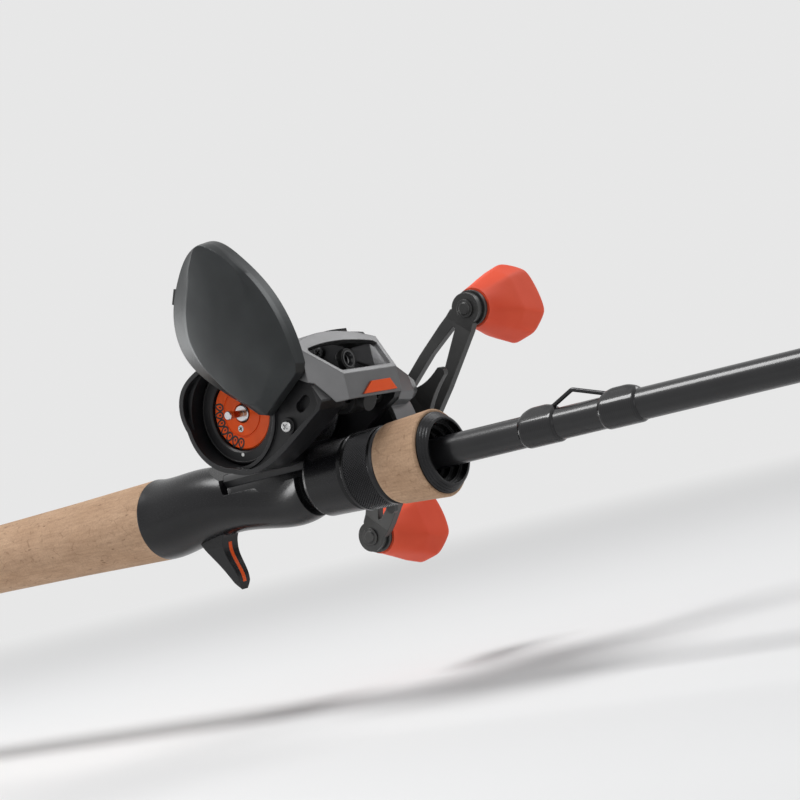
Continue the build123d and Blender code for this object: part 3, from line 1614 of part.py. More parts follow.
pieces = {
    "rod_blank": rod_blank,
    "rear_grip": rear_grip,
    "butt_cap": butt_cap,
    "reel_seat": reel_seat,
    "trigger_inlay": trigger_inlay,
    "seat_arbor": seat_arbor,
    "seat_hood": seat_hood,
    "lock_nut": lock_nut,
    "foregrip": foregrip,
    "foregrip_trim": foregrip_trim,
    "hook_keeper": keeper_wire,
    "keeper_wraps": keeper_wraps,
    "guide_frames": guide_frames,
    "guide_rings": guide_rings,
    "guide_wraps": guide_wraps,
    "tip_top": tip_top,
    "reel_frame": reel_frame,
    "front_hood": front_hood,
    "hood_badge": hood_badge,
    "palm_bezel": palm_bezel,
    "bezel_screws": bezel_screws,
    "brake_housing": brake_housing,
    "spool_bearings": spool_bearings,
    "gear_plate": gear_plate,
    "gear_cover": gear_cover,
    "cover_screws": cover_screws,
    "shaft_bearings": shaft_bearings,
    "one_way_bearing": one_way_bearing,
    "worm_tube": worm_tube,
    "plate_pivot_pin": plate_pivot_pin,
    "dial_post": dial_post,
    "side_plate": side_plate,
    "plate_latch": plate_latch,
    "brake_dial": brake_dial,
    "dial_screw": dial_screw,
    "magnet_carrier": magnet_carrier,
    "brake_magnets": brake_magnets,
    "spool": spool,
    "spool_shaft": spool_shaft,
    "pinion": pinion,
    "clutch_yoke": clutch_yoke,
    "thumb_bar": thumb_bar,
    "drive_shaft": drive_shaft,
    "drive_gear": drive_gear,
    "ratchet_wheel": ratchet_wheel,
    "drag_washers": drag_washers,
    "level_wind_drive_gear": level_wind_drive_gear,
    "idler_gear": idler_gear,
    "worm_shaft": worm_shaft,
    "line_guide": line_guide,
    "line_guide_ring": line_guide_ring,
    "level_wind_pawl": level_wind_pawl,
    "handle_arm": handle_arm,
    "handle_nut": handle_nut,
    "knob_spindles": knob_spindles,
    "star_drag": star_drag,
    "cast_control_cap": cast_control_cap,
}

os.makedirs("parts", exist_ok=True)
for name, build in pieces.items():
    export_step(build(), f"parts/{name}.step")
for name, place in zip(("knob_upper", "knob_lower"), knob_spots()):
    export_step(knob(place), f"parts/{name}.step")
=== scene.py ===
import json
import math

import bmesh
import bpy
from mathutils import Matrix, Vector


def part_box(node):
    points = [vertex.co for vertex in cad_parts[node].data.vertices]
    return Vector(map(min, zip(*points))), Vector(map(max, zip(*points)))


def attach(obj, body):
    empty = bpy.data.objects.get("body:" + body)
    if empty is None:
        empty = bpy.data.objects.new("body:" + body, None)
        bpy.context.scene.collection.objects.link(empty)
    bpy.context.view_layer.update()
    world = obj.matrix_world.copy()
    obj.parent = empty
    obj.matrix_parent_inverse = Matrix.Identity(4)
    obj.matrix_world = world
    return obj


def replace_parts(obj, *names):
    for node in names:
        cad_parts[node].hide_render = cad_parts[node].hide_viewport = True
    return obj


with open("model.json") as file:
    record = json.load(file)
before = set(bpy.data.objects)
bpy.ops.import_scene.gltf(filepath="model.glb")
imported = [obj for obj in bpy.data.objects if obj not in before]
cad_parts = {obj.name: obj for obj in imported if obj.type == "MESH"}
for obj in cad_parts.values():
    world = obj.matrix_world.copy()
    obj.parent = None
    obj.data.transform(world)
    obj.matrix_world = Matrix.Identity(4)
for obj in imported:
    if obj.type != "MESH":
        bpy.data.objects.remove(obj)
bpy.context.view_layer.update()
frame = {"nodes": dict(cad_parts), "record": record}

nodes = frame["nodes"]
mm = 0.001
scene = bpy.context.scene


# Shared measures

# (x, radius) of the blank in millimetres, and the straight steps of its taper in front of the fore grip
blank_butt, blank_fore, blank_tip = (-281.0, 6.2), (58.6, 4.8), (1680.0, 0.95)
blank_steps, blank_power = 10, 1.25
# (x, z) of the brake dial's axis and of the side plate's middle when it is shut, in millimetres
dial_centre = (0.0, 26.6)
plate_middle = (9.0, 28.0)
# How far the side plate's wall stands out from its rim, in millimetres
plate_wall = 2.6
# Turn of each knob about its own axis, in degrees
knob_lean = -13.5
# Level of the floor in metres, and the tone of the background
floor_z = -0.075
background_tone = (0.8, 0.8, 0.8, 1)


# Camera

def look_axes(azimuth, elevation, roll):
    """Right, up and back directions of the photograph's camera."""
    a, e, r = (math.radians(v) for v in (azimuth, elevation, roll))
    back = Vector((math.sin(a) * math.cos(e), -math.cos(a) * math.cos(e), math.sin(e)))
    level = Vector((math.cos(a), math.sin(a), 0))
    rise = back.cross(level)
    right = level * math.cos(r) - rise * math.sin(r)
    up = level * math.sin(r) + rise * math.cos(r)
    return right, up, back


camera_place = Vector((375.1, -445.2, -4.5)) * mm
right, up, back = look_axes(azimuth=36.3, elevation=-2.4, roll=13.3)
camera_data = bpy.data.cameras.new("camera")
camera_data.sensor_width = 36
camera_data.lens = 81
camera_data.clip_end = 50
camera = bpy.data.objects.new("camera", camera_data)
scene.collection.objects.link(camera)
camera_turn = Matrix((right, up, back)).transposed().to_4x4()
camera.matrix_world = Matrix.Translation(camera_place) @ camera_turn
scene.camera = camera


# Material helpers

def new_material(name):
    """Empty principled material with its tree and shader."""
    material = bpy.data.materials.new(name)
    material.use_nodes = True
    tree = material.node_tree
    return material, tree, tree.nodes["Principled BSDF"]


def node(tree, kind, **settings):
    """New node with some of its settings."""
    made = tree.nodes.new(kind)
    for key, value in settings.items():
        setattr(made, key, value)
    return made


def set_inputs(made, **values):
    """Plain values of a node's sockets, with underscores for the spaces in their names."""
    for key, value in values.items():
        made.inputs[key.replace("_", " ")].default_value = value


def coordinates(tree, scale=(1, 1, 1)):
    """Object coordinates, stretched by a scale."""
    place = node(tree, "ShaderNodeTexCoord")
    mapping = node(tree, "ShaderNodeMapping")
    mapping.inputs["Scale"].default_value = scale
    tree.links.new(place.outputs["Object"], mapping.inputs["Vector"])
    return mapping.outputs["Vector"]


def noise(tree, vector, scale, detail=3.0, roughness=0.55):
    """Noise value between nought and one."""
    made = node(tree, "ShaderNodeTexNoise")
    set_inputs(made, Scale=scale, Detail=detail, Roughness=roughness)
    tree.links.new(vector, made.inputs["Vector"])
    return made.outputs["Fac"]


def ramp(tree, factor, stops):
    """Colour ramp through (place, colour) stops."""
    made = node(tree, "ShaderNodeValToRGB")
    band = made.color_ramp
    while len(band.elements) < len(stops):
        band.elements.new(0.5)
    for element, (place, colour) in zip(band.elements, stops):
        element.position = place
        element.color = (*colour, 1)
    tree.links.new(factor, made.inputs["Fac"])
    return made.outputs["Color"]


def spread(tree, factor, low, high):
    """Map a zero to one factor onto a range."""
    made = node(tree, "ShaderNodeMapRange")
    set_inputs(made, To_Min=low, To_Max=high)
    tree.links.new(factor, made.inputs["Value"])
    return made.outputs["Result"]


def math_node(tree, operation, first, second=None):
    """Math node whose inputs are sockets or plain numbers."""
    made = node(tree, "ShaderNodeMath", operation=operation)
    for socket, value in zip(made.inputs, (first, second)):
        if isinstance(value, (int, float)):
            socket.default_value = value
        elif value is not None:
            tree.links.new(value, socket)
    return made.outputs["Value"]


def mix(tree, factor, first, second, blend="MIX"):
    """Mix two colours, each a socket or a plain colour."""
    made = node(tree, "ShaderNodeMix", data_type="RGBA", blend_type=blend)
    for socket, value in (("Factor", factor), ("A", first), ("B", second)):
        slot = next(s for s in made.inputs if s.name == socket and s.type in ("VALUE", "RGBA") and s.enabled)
        if isinstance(value, (int, float)):
            slot.default_value = value
        elif isinstance(value, tuple):
            slot.default_value = (*value, 1)
        else:
            tree.links.new(value, slot)
    return next(s for s in made.outputs if s.enabled)


def bump(tree, shader, height, distance, strength, edge):
    """Bump, over normals that are softened along sharp edges where an edge radius is given."""
    made = node(tree, "ShaderNodeBump")
    set_inputs(made, Strength=strength, Distance=distance)
    tree.links.new(height, made.inputs["Height"])
    if edge:
        soft = node(tree, "ShaderNodeBevel", samples=4)
        set_inputs(soft, Radius=edge)
        tree.links.new(soft.outputs["Normal"], made.inputs["Normal"])
    tree.links.new(made.outputs["Normal"], shader.inputs["Normal"])


def along_axis(tree, axis):
    """One object coordinate as a value."""
    split = node(tree, "ShaderNodeSeparateXYZ")
    tree.links.new(coordinates(tree), split.inputs["Vector"])
    return split.outputs[axis]


# Finishes

white, black = (1, 1, 1), (0, 0, 0)


def satin(name, low, high, metallic, rough, coat=0.0, edge=0.3 * mm, shine=0.5):
    """Fine grained satin surface whose colour wanders a little, with softened edges."""
    patch_scale, grain_scale, grain_depth, rough_swing = 60.0, 3600.0, 0.02 * mm, 0.05
    material, tree, shader = new_material(name)
    set_inputs(shader, Metallic=metallic, Coat_Weight=coat, Coat_Roughness=0.08, Specular_IOR_Level=shine)
    where = coordinates(tree)
    patches = noise(tree, where, patch_scale)
    grain = noise(tree, where, grain_scale, 2.0)
    tree.links.new(ramp(tree, patches, [(0.3, low), (0.7, high)]), shader.inputs["Base Color"])
    tree.links.new(spread(tree, grain, rough - rough_swing, rough + rough_swing), shader.inputs["Roughness"])
    bump(tree, shader, grain, grain_depth, 0.5, edge)
    return material


def cork():
    """Pale cork: fine grain, thin broken cell lines, small dark flecks along the rod, faint disc seams."""
    deep, pale = (0.42, 0.262, 0.155), (0.51, 0.335, 0.212)
    cell_brown, fleck_brown, seam_brown = (0.21, 0.115, 0.06), (0.17, 0.09, 0.045), (0.2, 0.11, 0.06)
    disc_length, seam_half = 12.7 * mm, 0.01
    material, tree, shader = new_material("cork")
    where = coordinates(tree)
    tone = noise(tree, coordinates(tree, (0.5, 1, 1)), 130.0, 3.0, 0.5)
    base = ramp(tree, tone, [(0.3, deep), (0.7, pale)])
    fine = noise(tree, where, 1500.0, 3.0, 0.7)
    fine_shade = ramp(tree, fine, [(0.25, (0.55, 0.5, 0.45)), (0.6, white)])
    base = mix(tree, 0.5, base, fine_shade, "MULTIPLY")
    streak = noise(tree, coordinates(tree, (0.12, 1, 1)), 1100.0, 2.0, 0.6)
    streak_shade = ramp(tree, streak, [(0.35, (0.62, 0.57, 0.52)), (0.6, white)])
    base = mix(tree, 0.4, base, streak_shade, "MULTIPLY")

    cells = node(tree, "ShaderNodeTexVoronoi", feature="DISTANCE_TO_EDGE")
    set_inputs(cells, Scale=230.0, Randomness=1.0)
    tree.links.new(coordinates(tree, (0.8, 1, 1)), cells.inputs["Vector"])
    line = ramp(tree, cells.outputs["Distance"], [(0.0, white), (0.045, black)])
    broken = ramp(tree, noise(tree, where, 420.0, 2.0), [(0.5, black), (0.6, white)])
    line = mix(tree, 1.0, line, broken, "MULTIPLY")
    base = mix(tree, math_node(tree, "MULTIPLY", line, 0.6), base, cell_brown)

    flecks = node(tree, "ShaderNodeTexVoronoi")
    set_inputs(flecks, Scale=620.0, Randomness=1.0)
    tree.links.new(coordinates(tree, (0.35, 1, 1)), flecks.inputs["Vector"])
    fleck = ramp(tree, flecks.outputs["Distance"], [(0.12, white), (0.26, black)])
    patch = ramp(tree, noise(tree, where, 260.0, 2.0), [(0.56, black), (0.64, white)])
    fleck = mix(tree, 1.0, fleck, patch, "MULTIPLY")
    base = mix(tree, math_node(tree, "MULTIPLY", fleck, 0.8), base, fleck_brown)

    disc = math_node(tree, "FRACT", math_node(tree, "MULTIPLY", along_axis(tree, "X"), 1 / disc_length))
    from_seam = math_node(tree, "ABSOLUTE", math_node(tree, "SUBTRACT", disc, 0.5))
    seam = math_node(tree, "LESS_THAN", from_seam, seam_half)
    base = mix(tree, math_node(tree, "MULTIPLY", seam, 0.15), base, seam_brown)
    tree.links.new(base, shader.inputs["Base Color"])
    set_inputs(shader, Roughness=0.78)
    height = math_node(tree, "SUBTRACT", fine, math_node(tree, "MAXIMUM", fleck, line))
    bump(tree, shader, height, 0.1 * mm, 0.5, 0.4 * mm)
    return material


def thread():
    """Varnished thread, with fine turns round the blank."""
    wave_scale = 3200.0 / (2 * math.pi)
    low, high = (0.004, 0.004, 0.005), (0.01, 0.01, 0.011)
    material, tree, shader = new_material("thread_black")
    turns = node(tree, "ShaderNodeTexWave", wave_type="BANDS", bands_direction="X")
    set_inputs(turns, Scale=wave_scale, Distortion=0.4)
    tree.links.new(coordinates(tree), turns.inputs["Vector"])
    tree.links.new(ramp(tree, turns.outputs["Fac"], [(0, low), (1, high)]), shader.inputs["Base Color"])
    set_inputs(shader, Roughness=0.3, Coat_Weight=0.55, Coat_Roughness=0.08, Specular_IOR_Level=0.15)
    bump(tree, shader, turns.outputs["Fac"], 0.025 * mm, 0.4, 0.0)
    return material


def post():
    """Bright post with a coppery middle."""
    copper, copper_from, copper_to = (0.45, 0.19, 0.1), -23.0 * mm, -18.6 * mm
    material, tree, shader = new_material("post")
    height = along_axis(tree, "Y")
    middle = math_node(
        tree, "MULTIPLY",
        math_node(tree, "GREATER_THAN", height, copper_from),
        math_node(tree, "LESS_THAN", height, copper_to),
    )
    grain = noise(tree, coordinates(tree), 2500.0, 2.0)
    bright = ramp(tree, grain, [(0.3, (0.55, 0.55, 0.56)), (0.7, (0.66, 0.66, 0.67))])
    tree.links.new(mix(tree, middle, bright, copper), shader.inputs["Base Color"])
    tree.links.new(spread(tree, grain, 0.2, 0.3), shader.inputs["Roughness"])
    set_inputs(shader, Metallic=1.0)
    return material


finishes = {
    "blank": satin("blank_black", (0.007, 0.007, 0.008), (0.012, 0.012, 0.013), 0.0, 0.3,
                   coat=0.3, edge=0.0, shine=0.3),
    "cork": cork(),
    "seat": satin("seat_black", (0.003, 0.003, 0.004), (0.006, 0.006, 0.007), 0.0, 0.26, shine=0.32),
    "orange": satin("orange", (0.8, 0.082, 0.004), (0.88, 0.1, 0.006), 0.0, 0.42, edge=0.2 * mm, shine=0.3),
    "wing": satin("wing_graphite", (0.03, 0.032, 0.033), (0.04, 0.043, 0.044), 0.6, 0.36,
                  edge=0.5 * mm, shine=0.3),
    "hood": satin("hood_silver", (0.12, 0.12, 0.122), (0.155, 0.155, 0.158), 0.9, 0.34, edge=0.5 * mm),
    "frame": satin("frame_black", (0.006, 0.006, 0.007), (0.011, 0.011, 0.012), 0.1, 0.38, shine=0.3),
    "handle": satin("handle_gunmetal", (0.055, 0.055, 0.055), (0.078, 0.078, 0.077), 0.85, 0.38,
                    edge=0.4 * mm),
    "nut": satin("nut_black", (0.02, 0.02, 0.021), (0.032, 0.032, 0.033), 0.8, 0.26),
    "knob": satin("knob_coral", (0.72, 0.072, 0.028), (0.78, 0.092, 0.038), 0.0, 0.58,
                  edge=0.5 * mm, shine=0.25),
    "steel": satin("steel", (0.5, 0.5, 0.5), (0.6, 0.6, 0.6), 1.0, 0.26, edge=0.15 * mm),
    "brass": satin("brass", (0.55, 0.36, 0.13), (0.66, 0.45, 0.18), 1.0, 0.28, edge=0.0),
    "bright": satin("spool_silver", (0.42, 0.42, 0.43), (0.52, 0.52, 0.53), 0.95, 0.28),
    "black_plastic": satin("black_plastic", (0.008, 0.008, 0.008), (0.014, 0.014, 0.014), 0.0, 0.5,
                           shine=0.3),
    "guide": satin("guide_black", (0.02, 0.02, 0.021), (0.032, 0.032, 0.034), 0.6, 0.22, edge=0.0),
    "ceramic": satin("ring_grey", (0.03, 0.03, 0.032), (0.05, 0.05, 0.052), 0.0, 0.12, edge=0.0),
    "thread": thread(),
    "rubber": satin("rubber_black", (0.008, 0.008, 0.008), (0.014, 0.014, 0.014), 0.0, 0.62, shine=0.3),
    "drag": satin("drag_grey", (0.03, 0.03, 0.03), (0.05, 0.05, 0.05), 0.0, 0.6, edge=0.0),
    "magnet": satin("magnet_chrome", (0.6, 0.6, 0.6), (0.7, 0.7, 0.7), 1.0, 0.15, edge=0.0),
}
white_paint = satin("white_paint", (0.78, 0.78, 0.76), (0.86, 0.86, 0.84), 0.0, 0.5, edge=0.0)
knurl_metal = satin("knurl_metal", (0.035, 0.035, 0.037), (0.05, 0.05, 0.052), 0.9, 0.2, edge=0.0)
# Dark sheet used as painted shade in the dial's drop recesses and the small screw's cross recess
painted_shade_dark = satin("painted_shade_dark", (0.01, 0.008, 0.008), (0.016, 0.014, 0.014), 0.0, 0.5, edge=0.0)

# Angle in degrees past which an edge stays sharp, with finer creases on two mouldings
usual_crease = 28
finer_crease = {"front_hood": 16, "gear_cover": 12}
for entry in frame["record"]["subparts"]:
    mesh = nodes[entry["node"]].data
    mesh.materials.clear()
    mesh.materials.append(finishes[entry["material_slot"]])
    mesh.polygons.foreach_set("use_smooth", [True] * len(mesh.polygons))
    mesh.set_sharp_from_angle(angle=math.radians(finer_crease.get(entry["node"], usual_crease)))
nodes["dial_post"].data.materials[0] = post()
nodes["knob_spindles"].data.materials[0] = finishes["handle"]
nodes["plate_pivot_pin"].data.materials[0] = finishes["frame"]
nodes["cover_screws"].data.materials[0] = finishes["frame"]


# Mesh helpers

def add_piece(name, points, faces, material, body, smooth=True):
    """Mesh in the part's own frame that rides on a body."""
    mesh = bpy.data.meshes.new(name)
    mesh.from_pydata(points, [], faces)
    mesh.materials.append(material)
    mesh.polygons.foreach_set("use_smooth", [smooth] * len(mesh.polygons))
    piece = bpy.data.objects.new(name, mesh)
    scene.collection.objects.link(piece)
    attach(piece, body)
    return piece


def weld(piece):
    """Join the points that lie on one another."""
    shape = bmesh.new()
    shape.from_mesh(piece.data)
    bmesh.ops.remove_doubles(shape, verts=shape.verts, dist=1e-7)
    shape.to_mesh(piece.data)
    shape.free()


def circle(count):
    """Angles of evenly spaced points round a circle."""
    return [2 * math.pi * step / count for step in range(count)]


def ring_faces(rings, around, flip=False, closed=False):
    """Quads between rings of points, and from the last ring to the first where the form closes on itself."""
    total = rings * around
    faces = []
    for ring in range(rings if closed else rings - 1):
        for step in range(around):
            a = ring * around + step
            b = ring * around + (step + 1) % around
            c, d = (a + around) % total, (b + around) % total
            faces.append((a, c, d, b) if flip else (a, b, d, c))
    return faces


def shifted(faces, start):
    """Faces whose points begin further down a list."""
    return [tuple(start + v for v in face) for face in faces]


def lathe(stations, around, centre=(0.0, 0.0)):
    """Points and faces of a surface of revolution along X, from (x, radius) stations."""
    points = [
        (x, centre[0] + radius * math.cos(angle), centre[1] + radius * math.sin(angle))
        for x, radius in stations for angle in circle(around)
    ]
    return points, ring_faces(len(stations), around)


def islands(mesh):
    """Groups of points joined by edges once doubled points are merged, in order along X."""
    place = {}
    owner = []
    for vertex in mesh.vertices:
        key = tuple(round(c, 6) for c in vertex.co)
        owner.append(place.setdefault(key, len(place)))
    parent = list(range(len(place)))

    def root(item):
        while parent[item] != item:
            parent[item] = parent[parent[item]]
            item = parent[item]
        return item

    for edge in mesh.edges:
        a, b = (root(owner[v]) for v in edge.vertices)
        parent[a] = b
    groups = {}
    for key, item in place.items():
        groups.setdefault(root(item), []).append(Vector(key))
    return sorted(groups.values(), key=lambda group: group[0].x)


def ease(value, low, high):
    """Smooth step from nought at low to one at high."""
    share = min(max((value - low) / (high - low), 0), 1)
    return share * share * (3 - 2 * share)


# Rod

def blank_step(step):
    """Place along X and radius at one of the blank's steps, in millimetres."""
    share = step / blank_steps
    radius = blank_tip[1] + (blank_fore[1] - blank_tip[1]) * (1 - share) ** blank_power
    return blank_fore[0] + (blank_tip[0] - blank_fore[0]) * share, radius


def blank_radius(x):
    """Radius of the blank in front of the fore grip, along its straight steps, in metres."""
    share = (x / mm - blank_fore[0]) / (blank_tip[0] - blank_fore[0])
    place = min(max(share * blank_steps, 0), blank_steps)
    step = min(int(place), blank_steps - 1)
    rear, front = (blank_step(end)[1] for end in (step, step + 1))
    return (rear + (front - rear) * (place - step)) * mm


def smooth_blank():
    """Rod blank with the frame's straight steps and a finer round."""
    stations = [(blank_butt[0], 0), blank_butt]
    stations += [blank_step(step) for step in range(blank_steps + 1)]
    stations.append((blank_tip[0], 0))
    points, faces = lathe([(x * mm, radius * mm) for x, radius in stations], 64)
    piece = add_piece("rod_blank_smooth", points, faces, finishes["blank"], "rod")
    weld(piece)
    piece.data.set_sharp_from_angle(angle=math.radians(40))
    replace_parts(piece, "rod_blank")


def smooth_rings():
    """Guide rings as round hoops, sized from the frame's own rings."""
    around, wall_steps = 56, 16
    points, faces = [], []
    for group in islands(nodes["guide_rings"].data):
        low = [min(p[k] for p in group) for k in range(3)]
        high = [max(p[k] for p in group) for k in range(3)]
        centre = [(a + b) / 2 for a, b in zip(low, high)]
        outer = (high[1] - low[1]) / 2
        inner = min(math.hypot(p.y - centre[1], p.z - centre[2]) for p in group)
        half = (high[0] - low[0]) / 2
        middle = (outer + inner) / 2
        wall = (outer - inner) / 2
        loop = circle(wall_steps) + [2 * math.pi]
        section = [(centre[0] + half * math.sin(t), middle + wall * math.cos(t)) for t in loop]
        more, quads = lathe(section, around, (centre[1], centre[2]))
        faces += shifted(quads, len(points))
        points += more
    piece = add_piece("guide_rings_smooth", points, faces, finishes["ceramic"], "rod")
    weld(piece)
    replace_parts(piece, "guide_rings")


def smooth_wraps(name, reach):
    """Varnished wraps as smooth swells over the feet, placed as the frame's own bands.

    The bands come in pairs along X, and the two of a pair are lengthened towards each other by reach.
    """
    around, rows = 64, 28
    skin_gap, least_thread, foot_margin, flat_top = 0.03 * mm, 0.2 * mm, 0.5 * mm, 0.05 * mm
    thread_run, longest_run, run_share = 1.2 * mm, 4.5 * mm, 0.45
    points, faces = [], []
    for index, group in enumerate(islands(nodes[name].data)):
        rear = min(p.x for p in group) - (reach if index % 2 else 0)
        front = max(p.x for p in group) + (0 if index % 2 else reach)
        top = max(p.z for p in group)
        band = -min(p.z for p in group)
        foot = max(abs(p.y) for p in group if p.z > top - flat_top) + foot_margin
        foot_run = min(longest_run, run_share * (front - rear))
        faces += shifted(ring_faces(rows + 1, around, flip=True, closed=True), len(points))
        for row in range(rows + 1):
            x = rear + (front - rear) * (0.5 - 0.5 * math.cos(math.pi * row / rows))
            inside = min(x - rear, front - x)
            skin = blank_radius(x) + skin_gap
            base = max(band, skin + least_thread)
            thread_rise = math.sin(math.pi / 2 * min(inside / thread_run, 1))
            foot_rise = math.sin(math.pi / 2 * min(inside / foot_run, 1))
            for angle in circle(around):
                radius = skin + (base - skin) * thread_rise
                if math.cos(angle) > 0:
                    aside = radius * math.sin(angle) / foot
                    radius += (top - base) * foot_rise * math.exp(-(aside ** 2) / 2)
                points.append((x, radius * math.sin(angle), radius * math.cos(angle)))
    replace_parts(add_piece(name + "_smooth", points, faces, finishes["thread"], "rod"), name)


def knurl():
    """Diamond knurl in the lock nut's band."""
    rear, front, low, high = 29.65, 39.15, 12.26, 12.55
    count, samples, pitch, steepness = 84, 6, 1.0, 1.5
    rows = int((front - rear) / pitch * samples)
    around = count * samples
    points = []
    for row in range(rows + 1):
        x = rear + (front - rear) * row / rows
        for step, angle in enumerate(circle(around)):
            turn = count * step / around
            heights = []
            for sign in (1, -1):
                share = (turn + sign * x / pitch) % 1.0
                heights.append(1 - abs(2 * share - 1))
            height = 0 if row in (0, rows) else min(min(heights) * steepness, 1.0)
            radius = low + (high - low) * height
            points.append((x * mm, radius * math.cos(angle) * mm, radius * math.sin(angle) * mm))
    faces = ring_faces(rows + 1, around)
    add_piece("nut_knurl", points, faces, knurl_metal, "lock_nut", smooth=False)


# Brake dial

def flat_piece(name, outlines, depths, material, body):
    """Thin plates seen along Y, from outlines of (x, z) and their front and back in millimetres."""
    points, faces = [], []
    for outline in outlines:
        start = len(points)
        size = len(outline)
        for y in depths:
            points += [(x * mm, y * mm, z * mm) for x, z in outline]
        faces.append(tuple(range(start, start + size)))
        for step in range(size):
            after = (step + 1) % size
            faces.append((start + step, start + size + step, start + size + after, start + after))
    add_piece(name, points, faces, material, body, smooth=False)


def polar(radius, degrees):
    """(x, z) at a radius and an angle about the dial's axis."""
    angle = math.radians(degrees)
    return dial_centre[0] + radius * math.cos(angle), dial_centre[1] + radius * math.sin(angle)


def drop_outline(middle, low, high, half):
    """Drop that points away from the dial's centre."""
    mean_radius, narrowing = 9.5, 0.55
    outline = []
    for t in circle(32):
        share = (1 - math.cos(t)) / 2
        width = half * math.sin(t) * (1 - narrowing * share)
        outline.append(polar(low + (high - low) * share, middle + math.degrees(width / mean_radius)))
    return outline


def dial_marks():
    """Drops on the brake dial as flat pieces, with dark rims and hearts of painted shade for their shallow
    recesses; a lighter ring beside the dial, a painted highlight for the housing rim's edge; a pale dot
    beside it; the small screw's cross recess as dark bars of painted shade.
    """
    middles = [156.5 + 15.8 * index for index in range(7)]
    rims = [drop_outline(middle, 7.75, 11.4, 1.75) for middle in middles]
    drops = [drop_outline(middle, 8.35, 10.75, 1.0) for middle in middles]
    hearts = [drop_outline(middle, 8.75, 9.75, 0.42) for middle in middles]
    # The dark rims and hearts are painted shade for the drops' shallow recesses; the orange drops between
    # them are the dial's own colour
    flat_piece("dial_drop_rim_shade", rims, (-18.04, -17.99), painted_shade_dark, "brake_dial")
    flat_piece("dial_drops", drops, (-18.07, -18.03), finishes["orange"], "brake_dial")
    flat_piece("dial_drop_heart_shade", hearts, (-18.1, -18.06), painted_shade_dark, "brake_dial")

    dot_radius, dot_middle = 0.6, polar(12.95, -101)
    dot = [(dot_middle[0] + dot_radius * math.cos(t), dot_middle[1] + dot_radius * math.sin(t))
           for t in circle(24)]
    flat_piece("index_dot", [dot], (-19.25, -19.18), white_paint, "rod")

    # A thin lighter metal ring: a painted highlight standing for the edge of the brake housing's rim
    ring_outer, ring_inner = 15.35, 15.1
    spans = [360 * step / 96 for step in range(97)]
    ring = [polar(ring_outer, t) for t in spans] + [polar(ring_inner, t) for t in reversed(spans)]
    flat_piece("dial_rim_highlight", [ring], (-19.24, -19.18), finishes["handle"], "rod")

    # Dark crossed bars: painted shade standing for the small screw's cross recess
    screw, bar_half, bar_half_width = (-1.9, dial_centre[1] - 4.6), 0.75, 0.17
    bars = []
    for degrees in (20, 110):
        a = math.radians(degrees)
        along = (math.cos(a) * bar_half, math.sin(a) * bar_half)
        across = (-math.sin(a) * bar_half_width, math.cos(a) * bar_half_width)
        bars.append([
            (screw[0] + i * along[0] + j * across[0], screw[1] + i * along[1] + j * across[1])
            for i, j in ((-1, -1), (1, -1), (1, 1), (-1, 1))
        ])
    flat_piece("dial_screw_recess_shade", bars, (-18.14, -18.09), painted_shade_dark, "brake_dial")


# Knobs

def smooth_knob(body, lean):
    """Soft faceted paddle knob that stands for the frame's plain one, leaned a little about its own axis."""
    low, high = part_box(body)
    axis_x, axis_z = (low.x + high.x) / 2, (low.z + high.z) / 2
    length = high.y - low.y
    neck, half, thick = 6.7 * mm, 14.3 * mm, 9.5 * mm
    edge_share, flat_share, softness = 0.43, 0.57, 26.0
    flare_start, flare_end, corner = 0.05, 0.49, 0.79
    bulge, round_end = 6.6 * mm, 3.2 * mm
    around, wall_rows, round_rows, cap_rows = 144, 30, 10, 9
    arc = (half * half + bulge * bulge) / (2 * bulge)
    angles = circle(around)

    def end_at(z):
        """Height of the bulged far end."""
        return length - arc + math.sqrt(max(arc * arc - z * z, 0))

    def section(y, t):
        """Eight sided section with soft corners, round at the neck."""
        share = min(max((y / length - flare_start) / (flare_end - flare_start), 0), 1)
        wide = neck + (half - neck) * min(y / (corner * length), 1)
        deep = neck + (thick - neck) * share
        flat = wide * flat_share
        side = Vector((wide - flat, deep * (1 - edge_share))).normalized()
        c, k = math.cos(t), math.sin(t)
        walls = (
            (abs(c), deep),
            (abs(k), wide),
            (abs(c) * side.x + abs(k) * side.y, deep * side.x + flat * side.y),
        )
        radius = sum((reach / far) ** softness for reach, far in walls) ** (-1 / softness)
        plain = math.hypot(c / deep, k / wide) ** -1
        radius = plain + (radius - plain) * share
        return radius * c, radius * k

    ends = []
    for t in angles:
        y = length
        for _ in range(12):
            y = end_at(section(y, t)[1])
        ends.append(y)

    rings = []
    for row in range(wall_rows + 1):
        ring = []
        for t, y in zip(angles, ends):
            place = (y - round_end) * (row / wall_rows)
            x, z = section(place, t)
            ring.append((x, place, z))
        rings.append(ring)
    for row in range(1, round_rows + 1):
        u = row / round_rows
        ring = []
        for t, y in zip(angles, ends):
            wall_x, wall_z = section(y - round_end, t)
            x, z = section(y, t)
            keep = 1 - round_end / math.hypot(x, z)
            wall = Vector((wall_x, y - round_end, wall_z))
            top = Vector((x * keep, end_at(z * keep), z * keep))
            ring.append(tuple(wall * (1 - u) ** 2 + Vector((x, y, z)) * 2 * u * (1 - u) + top * u * u))
        rings.append(ring)
    rounded = rings[-1]
    for row in range(1, cap_rows + 1):
        keep = 1 - row / (cap_rows + 0.5)
        rings.append([(x * keep, end_at(z * keep), z * keep) for x, _, z in rounded])

    turn = math.radians(lean)
    points = []
    for ring in rings:
        for x, y, z in ring:
            points.append((
                axis_x + x * math.cos(turn) + z * math.sin(turn),
                low.y + min(y, length),
                axis_z - x * math.sin(turn) + z * math.cos(turn),
            ))
    faces = ring_faces(len(rings), around, flip=True)
    last = (len(rings) - 1) * around
    faces += [(last + step, len(points), last + (step + 1) % around) for step in range(around)]
    points.append((axis_x, low.y + end_at(0), axis_z))
    faces.append(tuple(reversed(range(around))))
    piece = add_piece(body + "_soft", points, faces, finishes["knob"], body)
    piece.data.set_sharp_from_angle(angle=math.radians(45))
    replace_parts(piece, body)


# Side plate

